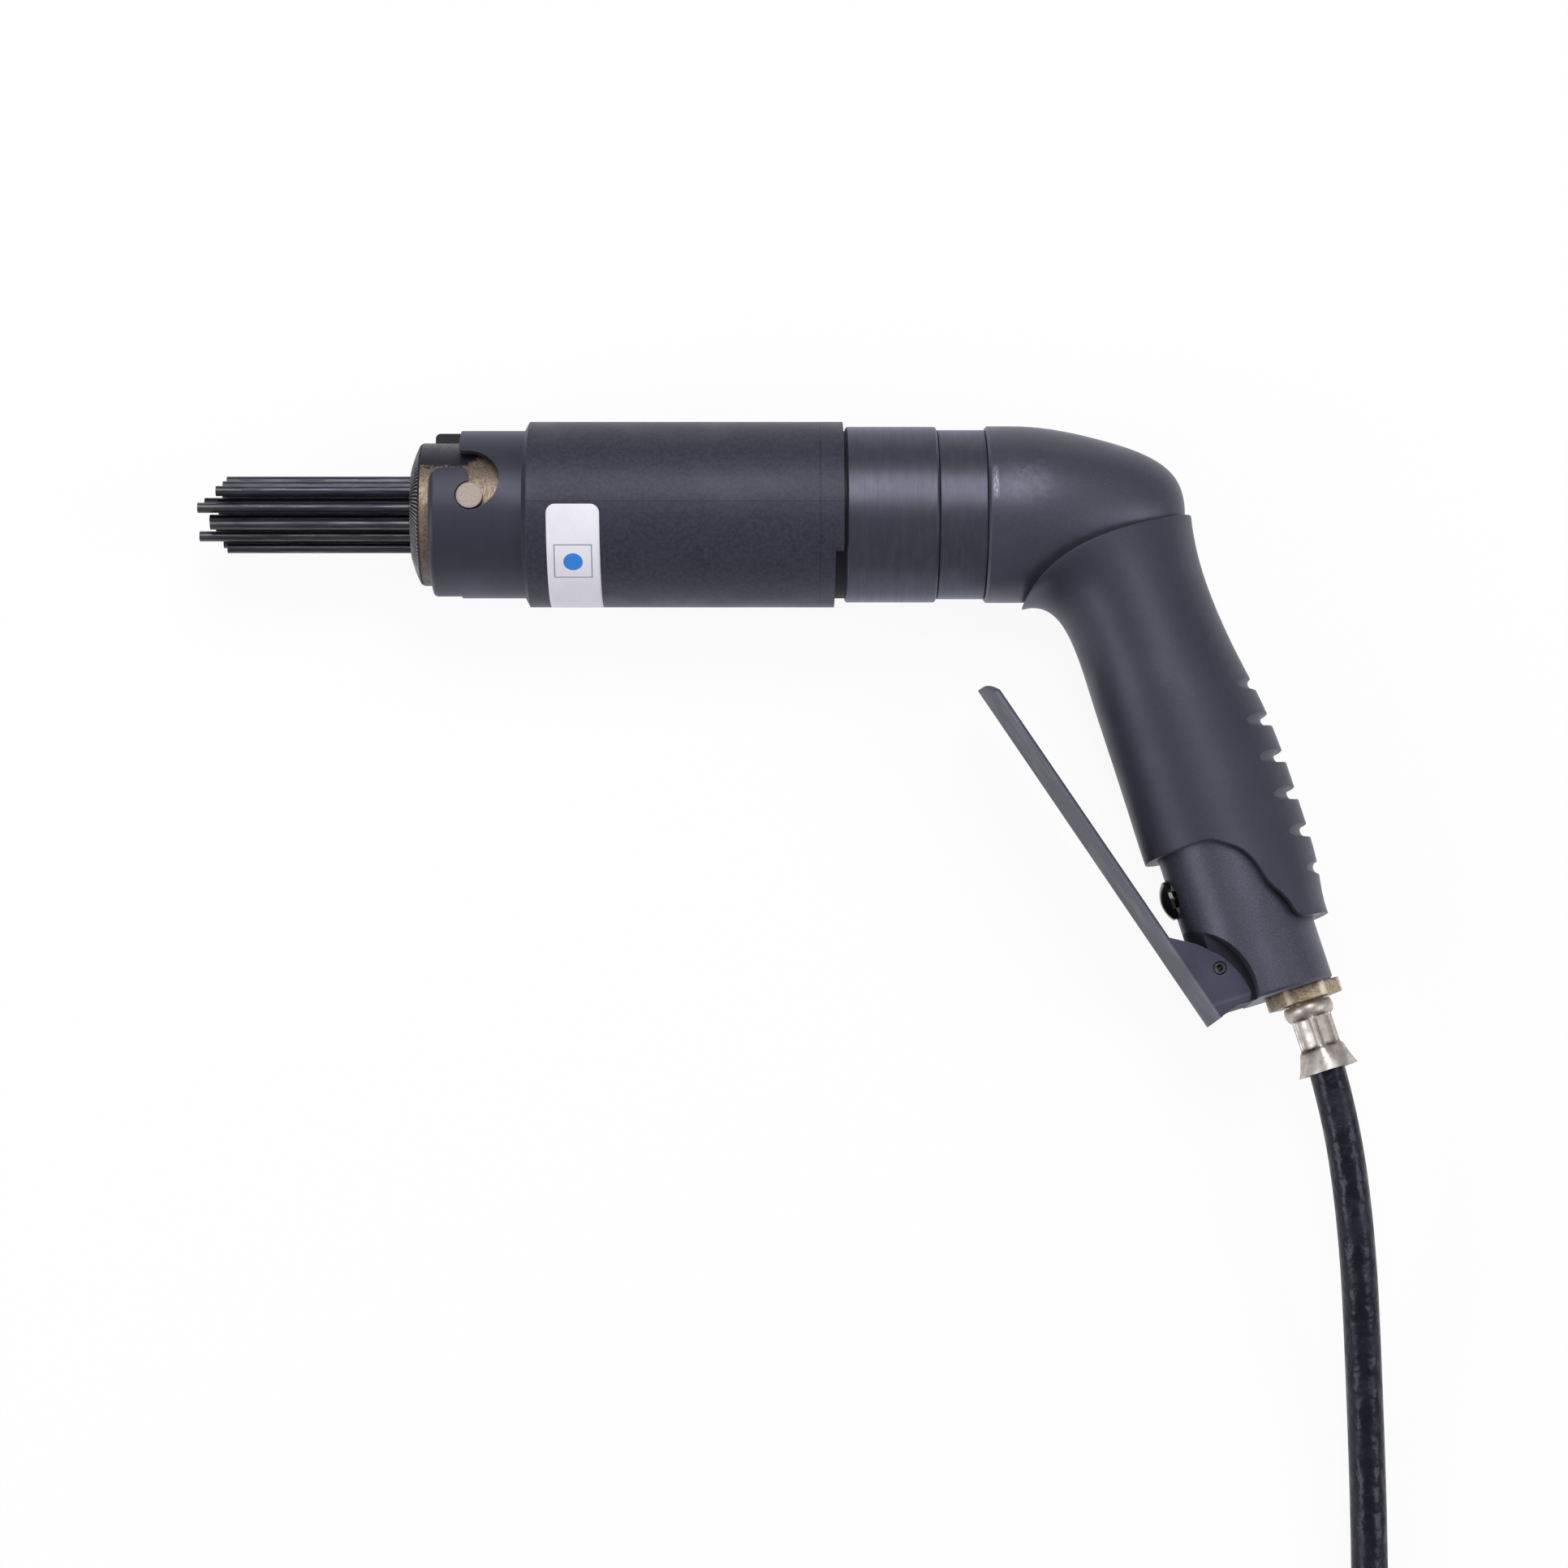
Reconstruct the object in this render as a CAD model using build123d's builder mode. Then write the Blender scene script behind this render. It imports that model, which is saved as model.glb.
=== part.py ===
from build123d import *
from math import acos, atan, cos, degrees, pi, radians, sin, sqrt, tan
import os

os.makedirs("parts", exist_ok=True)

# A compressed-air needle scaler with a pistol grip, lying on its side.
# The barrel runs along X with the needles towards -X, and the grip hangs towards -Y.
# Stations along the barrel are counted from the rear edge of the sleeve, towards the handle.
# Places on the grip are (down, back): down along the grip, and back from its middle line.
# What sits at the grip's lower end is placed by its rise above the end of the stem.

# Fits
running_gap = 0.06
seat_gap = 0.05
free_gap = 0.3

# Needles, and how far each has slid forward: the middle one, then six spokes of three
needle_radius = 1.5
needle_pitch = 5.0
needle_length = 125.0
needle_head_radius = 2.2
needle_head_length = 3.0
needle_gap = 0.1
needle_slides = (
    3.0,
    *(2.0, 0.9, 1.4),
    *(6.6, 2.8, 8.0),
    *(5.0, 4.2, 7.8),
    *(3.4, 0.2, 2.0),
    *(4.4, 1.2, 3.8),
    *(2.6, 1.8, 0.6),
)

# Barrel: the cylinder's bore and the walls round it, from the inside outwards
cylinder_bore = 12.5
cylinder_wall = 4.5
spigot_wall = 3.85
tube_wall = 3.55
sleeve_wall = 2.6

# Sleeve and nose tube
sleeve_length = 91.3
sleeve_bevel_length = 1.4
sleeve_notch_length = 2.4
sleeve_notch_depth = 11.8
tube_overhang = 28.2
tube_edge_round = 1.5

# Bayonet catch: distances from the tube's front edge, heights from the middle of the side
bayonet_pin_radius = 3.8
bayonet_pin_length = 10.5
bayonet_pin_setback = 11.9
bayonet_pin_below_surface = 0.2
pocket_room = 0.4
slot_setback = 11.0
slot_height = 5.0
slot_radius = 9.3
hook_setback = 11.4
hook_round = 1.8
notch_setback = 8.3
notch_height = 8.4
notch_round = 1.6
finger_round = 4.4

# Front guide
guide_length = 27.9
guide_overhang = 2.8
guide_dome_length = 3.1
guide_face_margin = 0.9
guide_dome_swell = 0.3

# Needle holder, return spring and anvil
holder_plate = 6.0
holder_skirt_overlap = 2.4
return_spring_room = 2.6
return_wire_radius = 1.1
return_spring_turns = 4.5
anvil_front_x = -54.4
anvil_head_inset = 1.8
anvil_head_length = 10.7
anvil_shank_radius = 9.0
anvil_shank_length = 17.7
anvil_shank_edge = 1.0

# Cylinder, piston and air valve
cylinder_rear_x = 12.0
cylinder_flange = 4.0
anvil_bush_step = 1.5
anvil_bush_length = 16.0
piston_length = 18.0
piston_nose_radius = 8.0
piston_nose_length = 4.0
piston_nose_edge = 0.8
piston_front_gap = 0.6
valve_seat_thickness = 6.0
valve_cover_length = 13.0
valve_disc_radius = 9.0
valve_disc_thickness = 1.2
valve_disc_room = 2.4
valve_disc_rest = 0.2
valve_port_radius = 1.5
valve_port_ring = 6.0
valve_centre_hole = 2.5

# Barrel ring and lock ring: steps are heights above the nose tube
ring_front_x = 0.8
ring_length = 26.5
ring_step = 1.2
ring_wall = 3.65
ring_spigot_length = 25.8
ring_edge = 0.5
flange_gap = 0.2
lock_ring_length = 14.3
lock_ring_step = 0.25
seal_wire_radius = 0.9
seal_setback = 6.0
seal_groove_width = 2.4

# Handle housing: distances from the elbow's front face, drops below the height of its lip
lip_step = 1.35
lip_length = 8.0
lip_edge = 0.6
elbow_mid = (33.4, 3.85)
elbow_shoulder = (50.7, 10.35)
elbow_mid_lean = 0.25
elbow_shoulder_lean = 0.67
elbow_shoulder_lift = 0.77
elbow_length = 58.8
handle_spigot_wall = 4.8
air_gallery_radius = 9.0
air_gallery_length = 40.4
grip_setback = 37.4
grip_tilt = 17.0
core_radius = 18.5
core_start = 12.0
core_length = 148.5
core_edge = 0.8
inlet_setback = 9.3
inlet_thread_radius = 6.6
inlet_thread_depth = 12.0
passage_radius = 4.0
valve_rise = 34.9
valve_bore_radius = 5.0
valve_bore_wall = 5.5

# Grip cover: its front and back walls at even steps down the grip, and the walls of its flared
# top sections, which lean over towards the elbow: (down, front), (down, back) and sides
cover_fit = 0.1
cover_wall = 2.7
cover_top_down = 34.0
cover_foot_rise = 15.5
cover_front_walls = (3.9, 3.7, 3.75, 3.8, 3.9, 3.9, 3.9)
cover_back_walls = (1.5, 3.2, 5.7, 6.75, 6.75, 6.0, 4.8)
cover_flare = (
    ((14.8, 26.6), (-5.0, 4.8), 4.9),
    ((18.4, 14.7), (8.0, 3.3), 3.7),
    ((22.8, 6.9), (20.5, 1.5), 3.0),
)
cover_hem_front = 47.0
cover_hem_turn = -8.0
cover_hem_wave = ((44.9, -2.8), (41.5, 1.6), (34.9, 5.1), (30.1, 6.5), (23.5, 10.4))
cover_hem_back = 18.2
cover_hem_end = 16.0
cover_edge_front = (11.0, -27.4)
cover_edge_bend = (22.6, -16.2)
cover_edge_top = (46.4, -6.4)
cover_edge_back = (66.4, 1.6)
groove_radius = 2.15
groove_count = 7
groove_first = 49.5
groove_pitch = 11.3
groove_floor = 3.0
groove_rise = 0.22
groove_centre_back = -3.2

# Lever: a folded strip on a pin, drawn at rest. Its heel and ears are placed from the pin
pivot_rise = 11.4
pivot_inset = 5.1
lever_width = 26.0
lever_thickness = 1.5
lever_slope = 0.294
lever_tip_down = 36.2
lever_tip_skew = 6.3
lever_tip_bow = 1.2
lever_heel_drop = 13.3
lever_heel_front = 3.5
lever_bend_round = 1.0
lever_bend_edge = 60.0
lever_pad_radius = 3.0
lever_pad_height = 1.2
ear_front = ((-12.9, -11.8), (-8.5, -4.3), (-3.2, 1.4))
ear_top = (1.9, 4.4)
ear_rear = (9.2, 6.4)
ear_bottom = ((11.1, 5.4), (11.4, 1.7), (13.1, -4.2))
lever_pin_radius = 1.9
lever_pin_bore = 1.0
lever_pin_edge = 0.3
lug_radius = 4.6
recess_centre = (6.4, -13.1)
recess_radius = 21.2
lever_spring_slot = 7.0
lever_spring_wire = 0.5
lever_spring_turns = 4.0
lever_spring_leg = 2.4

# Throttle button, and its valve behind the front of the bush
button_radius = 5.7
button_lift = 0.2
button_height = 3.1
button_rim = 1.0
button_dome_mid = 3.4
button_dome_drop = 0.7
button_stem_radius = 2.5
poppet_radius = 4.2
poppet_thickness = 2.5
valve_bush_recess = 1.3
valve_bush_length = 19.8
poppet_spring_radius = 3.0
poppet_spring_wire = 0.45
poppet_spring_turns = 5.0
stem_seal_setback = 8.2
stem_seal_wire = 0.8
valve_port_setback = 14.2
bush_port_radius = 2.0

# Hose fittings: walls and swells of the crimped ferrule round the hose
hose_radius = 5.25
hex_across = 19.0
hex_length = 4.2
hex_turn = 6.6
nipple_shank = 10.0
nipple_tail = 5.2
nipple_bore = 3.0
ferrule_gap = 0.6
ferrule_lining = 0.1
ferrule_wall = 1.25
ferrule_collar_swell = 0.5
ferrule_collar_length = 3.5
crimp_wall = 0.65
crimp_margin = 0.8
ferrule_neck_length = 12.0
ferrule_skirt_swell = 1.6
ferrule_skirt_length = 4.5
ferrule_flare = 0.5
ferrule_rim = 0.9

# Hose: its route's middle line from the grip, in the part's frame, and its coil
coil_radius = 64.0
coil_turn_gap = 0.7
coil_halves = 8
coil_climb = 4
coil_x = 108.6
coil_y = -338.0
coil_straight = 12.0
coil_exit_gap = 0.55
drop_radius = 60.0
tie_thickness = 1.0
tie_width = 8.0
tie_gap = 0.5
lead_straight = 7.7
lead_route = ((170.0, -147.0, 23.0), (172.8, -192.0, 11.5), (174.0, -238.0, 5.7))
lead_last_y = -283.0
lead_bend_share = 0.45
plug_bore = 2.2
plug_hex_across = 17.0
plug_hex_length = 6.0
plug_stem_radius = 5.0
plug_neck_start = 4.0
plug_neck_end = 9.0
plug_neck_radius = 4.0
plug_shoulder_radius = 5.5
plug_shoulder_end = 13.0
plug_slope = 1.0
plug_tip_radius = 3.9
plug_length = 24.0

# Radii that follow from the sizes above
cylinder_radius = cylinder_bore + cylinder_wall
tube_bore = cylinder_radius + spigot_wall + 2 * seat_gap
tube_radius = tube_bore + tube_wall
sleeve_bore = tube_radius + seat_gap
sleeve_radius = sleeve_bore + sleeve_wall
ring_radius = tube_radius + ring_step
lock_ring_radius = tube_radius + lock_ring_step
joint_radius = ring_radius - ring_wall - seat_gap
lip_radius = tube_radius + lip_step
cylinder_flange_radius = joint_radius - flange_gap
valve_plate_radius = joint_radius - handle_spigot_wall - seat_gap
anvil_head_radius = cylinder_radius - anvil_head_inset
anvil_bush_radius = cylinder_bore + anvil_bush_step
guide_radius = tube_bore - running_gap
needle_circle = 2 * needle_pitch + needle_radius
guide_face_radius = needle_circle + guide_face_margin
bayonet_pin_outer = tube_radius - bayonet_pin_below_surface
bayonet_pin_inner = bayonet_pin_outer - bayonet_pin_length
return_spring_radius = needle_circle + return_spring_room + return_wire_radius
holder_skirt_bore = anvil_head_radius + free_gap

# Stations that follow from the sizes above
needle_scatter = max(needle_slides)
sleeve_front_x = -sleeve_length
tube_front_x = sleeve_front_x - tube_overhang
pin_x = tube_front_x + bayonet_pin_setback
guide_front_x = tube_front_x - guide_overhang
guide_rear_x = guide_front_x + guide_length
guide_tip_x = guide_front_x - guide_dome_length
holder_rear_x = anvil_front_x + holder_skirt_overlap
holder_cavity_x = anvil_front_x - needle_scatter - needle_head_length - 2 * free_gap
holder_front_x = holder_cavity_x - holder_plate
anvil_shank_x = anvil_front_x + anvil_head_length
cylinder_front_x = anvil_shank_x + free_gap
anvil_rear_x = anvil_shank_x + anvil_shank_length
bush_rear_x = cylinder_front_x + anvil_bush_length
piston_front_x = anvil_rear_x + piston_front_gap
ring_rear_x = ring_front_x + ring_length
elbow_front_x = ring_rear_x + lock_ring_length
lip_rear_x = elbow_front_x + lip_length
elbow_end_x = elbow_front_x + elbow_length
air_gallery_end_x = elbow_front_x + air_gallery_length
grip_x = elbow_front_x + grip_setback
valve_seat_rear_x = cylinder_rear_x + valve_seat_thickness
valve_cover_rear_x = valve_seat_rear_x + valve_cover_length
flange_front_x = cylinder_rear_x - cylinder_flange

# Places on the grip that follow from the sizes above
inlet_back = core_radius - inlet_setback
valve_down = core_length - valve_rise
valve_bore_end = core_radius - valve_bore_wall
pivot_down = core_length - pivot_rise
pivot_back = pivot_inset - core_radius
lever_heel_down = pivot_down + lever_heel_drop
lever_heel_back = pivot_back - lever_heel_front
lever_angle = degrees(atan(lever_slope))
lever_inside = lever_width / 2 - lever_thickness
lug_half_width = lever_inside - free_gap
cover_bore = core_radius + cover_fit
button_base_back = -core_radius - button_lift
button_top_back = button_base_back - button_height
valve_bush_front = valve_bush_recess - core_radius
valve_bush_end = valve_bush_front + valve_bush_length
stem_seal_back = valve_bush_front + stem_seal_setback
valve_port_back = valve_bush_front + valve_port_setback
ferrule_bore = hose_radius + ferrule_lining
ferrule_neck_radius = ferrule_bore + ferrule_wall
ferrule_collar_radius = ferrule_neck_radius + ferrule_collar_swell
ferrule_skirt_radius = ferrule_neck_radius + ferrule_skirt_swell
ferrule_start = core_length + hex_length + ferrule_gap
hose_start = ferrule_start + ferrule_collar_length
ferrule_end = hose_start + ferrule_neck_length + ferrule_skirt_length
coil_pitch = 2 * hose_radius + coil_turn_gap
coil_step = coil_pitch / 2
coil_exit = ferrule_skirt_radius + hose_radius + coil_exit_gap

# The frame: the origin is under the middle of the tool, on the surface that it lies on
tilt_sin = sin(radians(grip_tilt))
tilt_cos = cos(radians(grip_tilt))
needle_tip_x = anvil_front_x - free_gap - needle_scatter - needle_length
hem_reach = cover_bore + cover_back_walls[-1]
hem_rear_x = grip_x + (core_length - cover_hem_back) * tilt_sin + hem_reach * tilt_cos
core_rear_x = grip_x + (core_length - core_edge) * tilt_sin + core_radius * tilt_cos
rear_most_x = max(hem_rear_x, core_rear_x)
lever_heel_outer = lever_heel_back - lever_thickness / cos(radians(lever_angle))
lowest_y = -lever_heel_down * tilt_cos + lever_heel_outer * tilt_sin
barrel_x = -(needle_tip_x + rear_most_x) / 2
barrel_y = -(sleeve_radius + lowest_y) / 2
barrel_z = sleeve_radius
barrel_origin = Vector(barrel_x, barrel_y, barrel_z)
side = Plane(origin=barrel_origin)
far_side = Plane(origin=barrel_origin, x_dir=(1, 0, 0), z_dir=(0, 0, -1))
barrel_axis = Axis(barrel_origin, (1, 0, 0))
down_dir = Vector(tilt_sin, -tilt_cos, 0)
back_dir = Vector(tilt_cos, tilt_sin, 0)
grip_origin = barrel_origin + Vector(grip_x, 0, 0)
grip_side = Plane(origin=grip_origin, x_dir=down_dir, z_dir=(0, 0, 1))


def grip_point(down, back):
    """A point on the grip's middle plane."""
    return grip_origin + down_dir * down + back_dir * back


def across_barrel(x):
    """The plane square to the barrel at a station."""
    return Plane(origin=barrel_origin + Vector(x, 0, 0), x_dir=(0, 1, 0), z_dir=(1, 0, 0))


def across_grip(down):
    """The plane square to the grip, with its x towards the back."""
    return Plane(origin=grip_point(down, 0), x_dir=back_dir, z_dir=down_dir)


def elbow_curve(grow):
    """The elbow's back, from its lip to the barrel axis, grown outwards by a thickness."""
    return Spline(
        (lip_rear_x, lip_radius + grow),
        (elbow_front_x + elbow_mid[0] + grow * elbow_mid_lean, lip_radius - elbow_mid[1] + grow),
        (
            elbow_front_x + elbow_shoulder[0] + grow * elbow_shoulder_lean,
            lip_radius - elbow_shoulder[1] + grow * elbow_shoulder_lift,
        ),
        (elbow_end_x + grow, 0),
        tangents=((1, 0), (0, -1)),
    )


def from_elbow(spot):
    """A place on the barrel's side, given from the elbow's front face."""
    return (elbow_front_x + spot[0], spot[1])


def finish(piece, label):
    """Name a finished piece and write it."""
    piece.part.label = label
    export_step(piece.part, f"parts/{label}.step")


inlet_axis = Axis(grip_point(0, inlet_back), down_dir)
button_axis = Axis(grip_point(valve_down, 0), back_dir)
pivot = grip_point(pivot_down, pivot_back)
pivot_side = Plane(origin=pivot, x_dir=down_dir, z_dir=(0, 0, 1))

# One needle in the middle, six round it and twelve in the outer hexagon
needle_spots = [(0.0, 0.0)]
for turn in range(6):
    for ring_distance, ring_turn in ((1, 0), (2, 0), (sqrt(3), 30)):
        angle = radians(60 * turn + ring_turn)
        distance = needle_pitch * ring_distance
        needle_spots.append((distance * cos(angle), distance * sin(angle)))

# Loose steel needles, each at its own place between the holder and the anvil
with BuildPart() as needles:
    for spot, slide in zip(needle_spots, needle_slides):
        rear = anvil_front_x - free_gap - slide
        with BuildSketch(across_barrel(rear - needle_length)):
            with Locations(spot):
                Circle(needle_radius)
        extrude(amount=needle_length)
        with BuildSketch(across_barrel(rear - needle_head_length)):
            with Locations(spot):
                Circle(needle_head_radius)
        extrude(amount=needle_head_length)
finish(needles, "needles")

# Holder: a drilled plate with a skirt round the needle heads
with BuildPart() as needle_holder:
    with BuildSketch(across_barrel(holder_front_x)):
        Circle(tube_bore - running_gap)
    extrude(amount=holder_rear_x - holder_front_x)
    with BuildSketch(across_barrel(holder_cavity_x)):
        Circle(holder_skirt_bore)
    extrude(amount=holder_rear_x - holder_cavity_x, mode=Mode.SUBTRACT)
    with BuildSketch(across_barrel(holder_front_x)):
        with Locations(*needle_spots):
            Circle(needle_radius + needle_gap)
    extrude(amount=holder_plate, mode=Mode.SUBTRACT)
finish(needle_holder, "needle_holder")

# Front guide: a bronze plug with a domed face, a hole for each needle and two sockets for the catch pins
with BuildPart() as front_guide:
    with BuildSketch(side):
        with BuildLine():
            Polyline(
                (guide_tip_x, 0),
                (guide_rear_x, 0),
                (guide_rear_x, guide_radius),
                (guide_front_x, guide_radius),
            )
            SagittaArc((guide_front_x, guide_radius), (guide_tip_x, guide_face_radius), -guide_dome_swell)
            Line((guide_tip_x, guide_face_radius), (guide_tip_x, 0))
        make_face()
    revolve(axis=barrel_axis)
    with BuildSketch(across_barrel(guide_tip_x)):
        with Locations(*needle_spots):
            Circle(needle_radius + needle_gap)
    extrude(amount=guide_rear_x - guide_tip_x, mode=Mode.SUBTRACT)
    for face in (side, far_side):
        with BuildSketch(face.offset(bayonet_pin_inner)):
            with Locations((pin_x, 0)):
                Circle(bayonet_pin_radius)
        extrude(amount=guide_radius, mode=Mode.SUBTRACT)
finish(front_guide, "front_guide")

# Catch pins: one on each side, fixed in the guide and level with the tube
with BuildPart() as bayonet_pins:
    for face in (side, far_side):
        with BuildSketch(face.offset(bayonet_pin_inner)):
            with Locations((pin_x, 0)):
                Circle(bayonet_pin_radius)
        extrude(amount=bayonet_pin_length)
finish(bayonet_pins, "bayonet_pins")

# Nose tube: two fingers at its front, each with a hooked slot for a catch pin
notch_rear_x = tube_front_x + notch_setback
hook_tip = (tube_front_x + hook_setback, notch_height)
with BuildPart() as nose_tube:
    with BuildSketch(side):
        with Locations((tube_front_x, tube_bore)):
            Rectangle(ring_front_x - tube_front_x, tube_wall, align=(Align.MIN, Align.MIN))
    revolve(axis=barrel_axis)
    front_rim = nose_tube.edges().filter_by(GeomType.CIRCLE).group_by(Axis.X)[0].sort_by(SortBy.RADIUS)[-1]
    fillet(front_rim, radius=tube_edge_round)
    for face in (side, far_side):
        with BuildSketch(face) as slot:
            with Locations((tube_front_x + slot_setback, slot_height)):
                Circle(slot_radius)
            with Locations(hook_tip):
                Rectangle(hook_setback, tube_radius, align=(Align.MAX, Align.MAX), mode=Mode.SUBTRACT)
            with Locations((pin_x, 0)):
                Circle(bayonet_pin_radius + pocket_room)
            with Locations((notch_rear_x, notch_height)):
                Rectangle(2 * notch_setback, tube_radius, align=(Align.MAX, Align.MIN))
            fillet(slot.vertices().sort_by_distance(hook_tip)[0], radius=hook_round)
            notch_corner = (notch_rear_x, slot_height + slot_radius)
            fillet(slot.vertices().sort_by_distance(notch_corner)[0], radius=notch_round)
            with Locations((tube_front_x, notch_height)):
                Rectangle(finger_round, finger_round, align=(Align.MIN, Align.MAX))
            with Locations((tube_front_x + finger_round, notch_height - finger_round)):
                Circle(finger_round, mode=Mode.SUBTRACT)
        extrude(amount=sleeve_radius, mode=Mode.SUBTRACT)
finish(nose_tube, "nose_tube")

# Return spring between the guide and the holder
return_spring_height = holder_front_x - guide_rear_x - 2 * return_wire_radius - 2 * free_gap
with BuildPart() as return_spring:
    with BuildLine():
        return_line = Helix(
            pitch=return_spring_height / return_spring_turns,
            height=return_spring_height,
            radius=return_spring_radius,
            center=(barrel_x + guide_rear_x + return_wire_radius + free_gap, barrel_y, barrel_z),
            direction=(1, 0, 0),
        )
    with BuildSketch(Plane(origin=return_line @ 0, z_dir=return_line % 0)):
        Circle(return_wire_radius)
    sweep(path=return_line, is_frenet=True)
finish(return_spring, "return_spring")

# Anvil: takes the piston's blow on its shank and hands it to the needle heads
with BuildPart() as anvil:
    with BuildSketch(side):
        with BuildLine():
            Polyline(
                (anvil_front_x, 0),
                (anvil_front_x, anvil_head_radius),
                (anvil_shank_x, anvil_head_radius),
                (anvil_shank_x, anvil_shank_radius),
                (anvil_rear_x, anvil_shank_radius),
                (anvil_rear_x, 0),
                close=True,
            )
        make_face()
    revolve(axis=barrel_axis)
    chamfer(anvil.faces().sort_by(Axis.X)[-1].edges(), length=anvil_shank_edge)
finish(anvil, "anvil")

# Bush that the anvil's shank runs in
with BuildPart() as anvil_bush:
    with BuildSketch(across_barrel(cylinder_front_x)):
        Circle(anvil_bush_radius)
        Circle(anvil_shank_radius + running_gap, mode=Mode.SUBTRACT)
    extrude(amount=anvil_bush_length)
finish(anvil_bush, "anvil_bush")

# Cylinder with a rear flange that the handle clamps
with BuildPart() as cylinder:
    with BuildSketch(side):
        with BuildLine():
            Polyline(
                (cylinder_front_x, anvil_bush_radius),
                (cylinder_front_x, cylinder_radius),
                (flange_front_x, cylinder_radius),
                (flange_front_x, cylinder_flange_radius),
                (cylinder_rear_x, cylinder_flange_radius),
                (cylinder_rear_x, cylinder_bore),
                (bush_rear_x, cylinder_bore),
                (bush_rear_x, anvil_bush_radius),
                close=True,
            )
        make_face()
    revolve(axis=barrel_axis)
finish(cylinder, "cylinder")

# Hammer piston with a striking nose
with BuildPart() as piston:
    with BuildSketch(across_barrel(piston_front_x)):
        Circle(piston_nose_radius)
    extrude(amount=piston_nose_length)
    with BuildSketch(across_barrel(piston_front_x + piston_nose_length)):
        Circle(cylinder_bore - running_gap)
    extrude(amount=piston_length)
    chamfer(piston.faces().sort_by(Axis.X)[0].edges(), length=piston_nose_edge)
finish(piston, "piston")

# Valve seat behind the cylinder, with a ring of air ports
with BuildPart() as valve_seat:
    with BuildSketch(across_barrel(cylinder_rear_x)):
        Circle(valve_plate_radius)
        with PolarLocations(valve_port_ring, 6):
            Circle(valve_port_radius, mode=Mode.SUBTRACT)
    extrude(amount=valve_seat_thickness)
finish(valve_seat, "valve_seat")

# Valve disc that flutters between the seat and the cover
with BuildPart() as valve_disc:
    with BuildSketch(across_barrel(valve_seat_rear_x + valve_disc_rest)):
        Circle(valve_disc_radius)
    extrude(amount=valve_disc_thickness)
finish(valve_disc, "valve_disc")

# Valve cover with the disc's chamber and the air inlet
with BuildPart() as valve_cover:
    with BuildSketch(across_barrel(valve_seat_rear_x)):
        Circle(valve_plate_radius)
    extrude(amount=valve_cover_length)
    with BuildSketch(across_barrel(valve_seat_rear_x)):
        Circle(valve_disc_radius + free_gap)
    extrude(amount=valve_disc_room, mode=Mode.SUBTRACT)
    with BuildSketch(across_barrel(valve_seat_rear_x)):
        Circle(valve_centre_hole)
    extrude(amount=valve_cover_length, mode=Mode.SUBTRACT)
finish(valve_cover, "valve_cover")

# Moulded sleeve over the nose tube, with a notch under its rear edge
with BuildPart() as sleeve:
    with BuildSketch(side):
        with BuildLine():
            Polyline(
                (sleeve_front_x - sleeve_bevel_length, sleeve_bore),
                (sleeve_front_x, sleeve_radius),
                (0, sleeve_radius),
                (0, sleeve_bore),
                close=True,
            )
        make_face()
    revolve(axis=barrel_axis)
    with BuildSketch(across_barrel(-sleeve_notch_length)):
        with Locations((-sleeve_radius, 0)):
            Rectangle(sleeve_notch_depth, 2 * sleeve_radius, align=(Align.MIN, Align.CENTER))
    extrude(amount=sleeve_notch_length, mode=Mode.SUBTRACT)
finish(sleeve, "sleeve")

# Barrel ring: joins the nose tube, the cylinder and the handle
with BuildPart() as barrel_ring:
    with BuildSketch(side):
        with BuildLine():
            Polyline(
                (ring_front_x - ring_spigot_length, cylinder_radius + seat_gap),
                (ring_front_x - ring_spigot_length, tube_bore - seat_gap),
                (ring_front_x, tube_bore - seat_gap),
                (ring_front_x, ring_radius),
                (ring_rear_x, ring_radius),
                (ring_rear_x, joint_radius + seat_gap),
                (flange_front_x, joint_radius + seat_gap),
                (flange_front_x, cylinder_radius + seat_gap),
                close=True,
            )
        make_face()
    revolve(axis=barrel_axis)
    outer_rims = barrel_ring.edges().filter_by(GeomType.CIRCLE).group_by(SortBy.RADIUS)[-1]
    chamfer(outer_rims, length=ring_edge)
finish(barrel_ring, "barrel_ring")

# Lock ring between the barrel ring and the handle
with BuildPart() as lock_ring:
    with BuildSketch(across_barrel(ring_rear_x)):
        Circle(lock_ring_radius)
        Circle(joint_radius + seat_gap, mode=Mode.SUBTRACT)
    extrude(amount=lock_ring_length)
    lock_rims = lock_ring.edges().filter_by(GeomType.CIRCLE).group_by(SortBy.RADIUS)[-1]
    chamfer(lock_rims, length=ring_edge)
finish(lock_ring, "lock_ring")

# Rubber ring that seals the handle's spigot in the barrel ring
seal_x = cylinder_rear_x + seal_setback
with BuildPart() as joint_seal:
    with BuildSketch(side):
        with Locations((seal_x, joint_radius - seal_wire_radius)):
            Circle(seal_wire_radius)
    revolve(axis=barrel_axis)
finish(joint_seal, "joint_seal")

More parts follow.
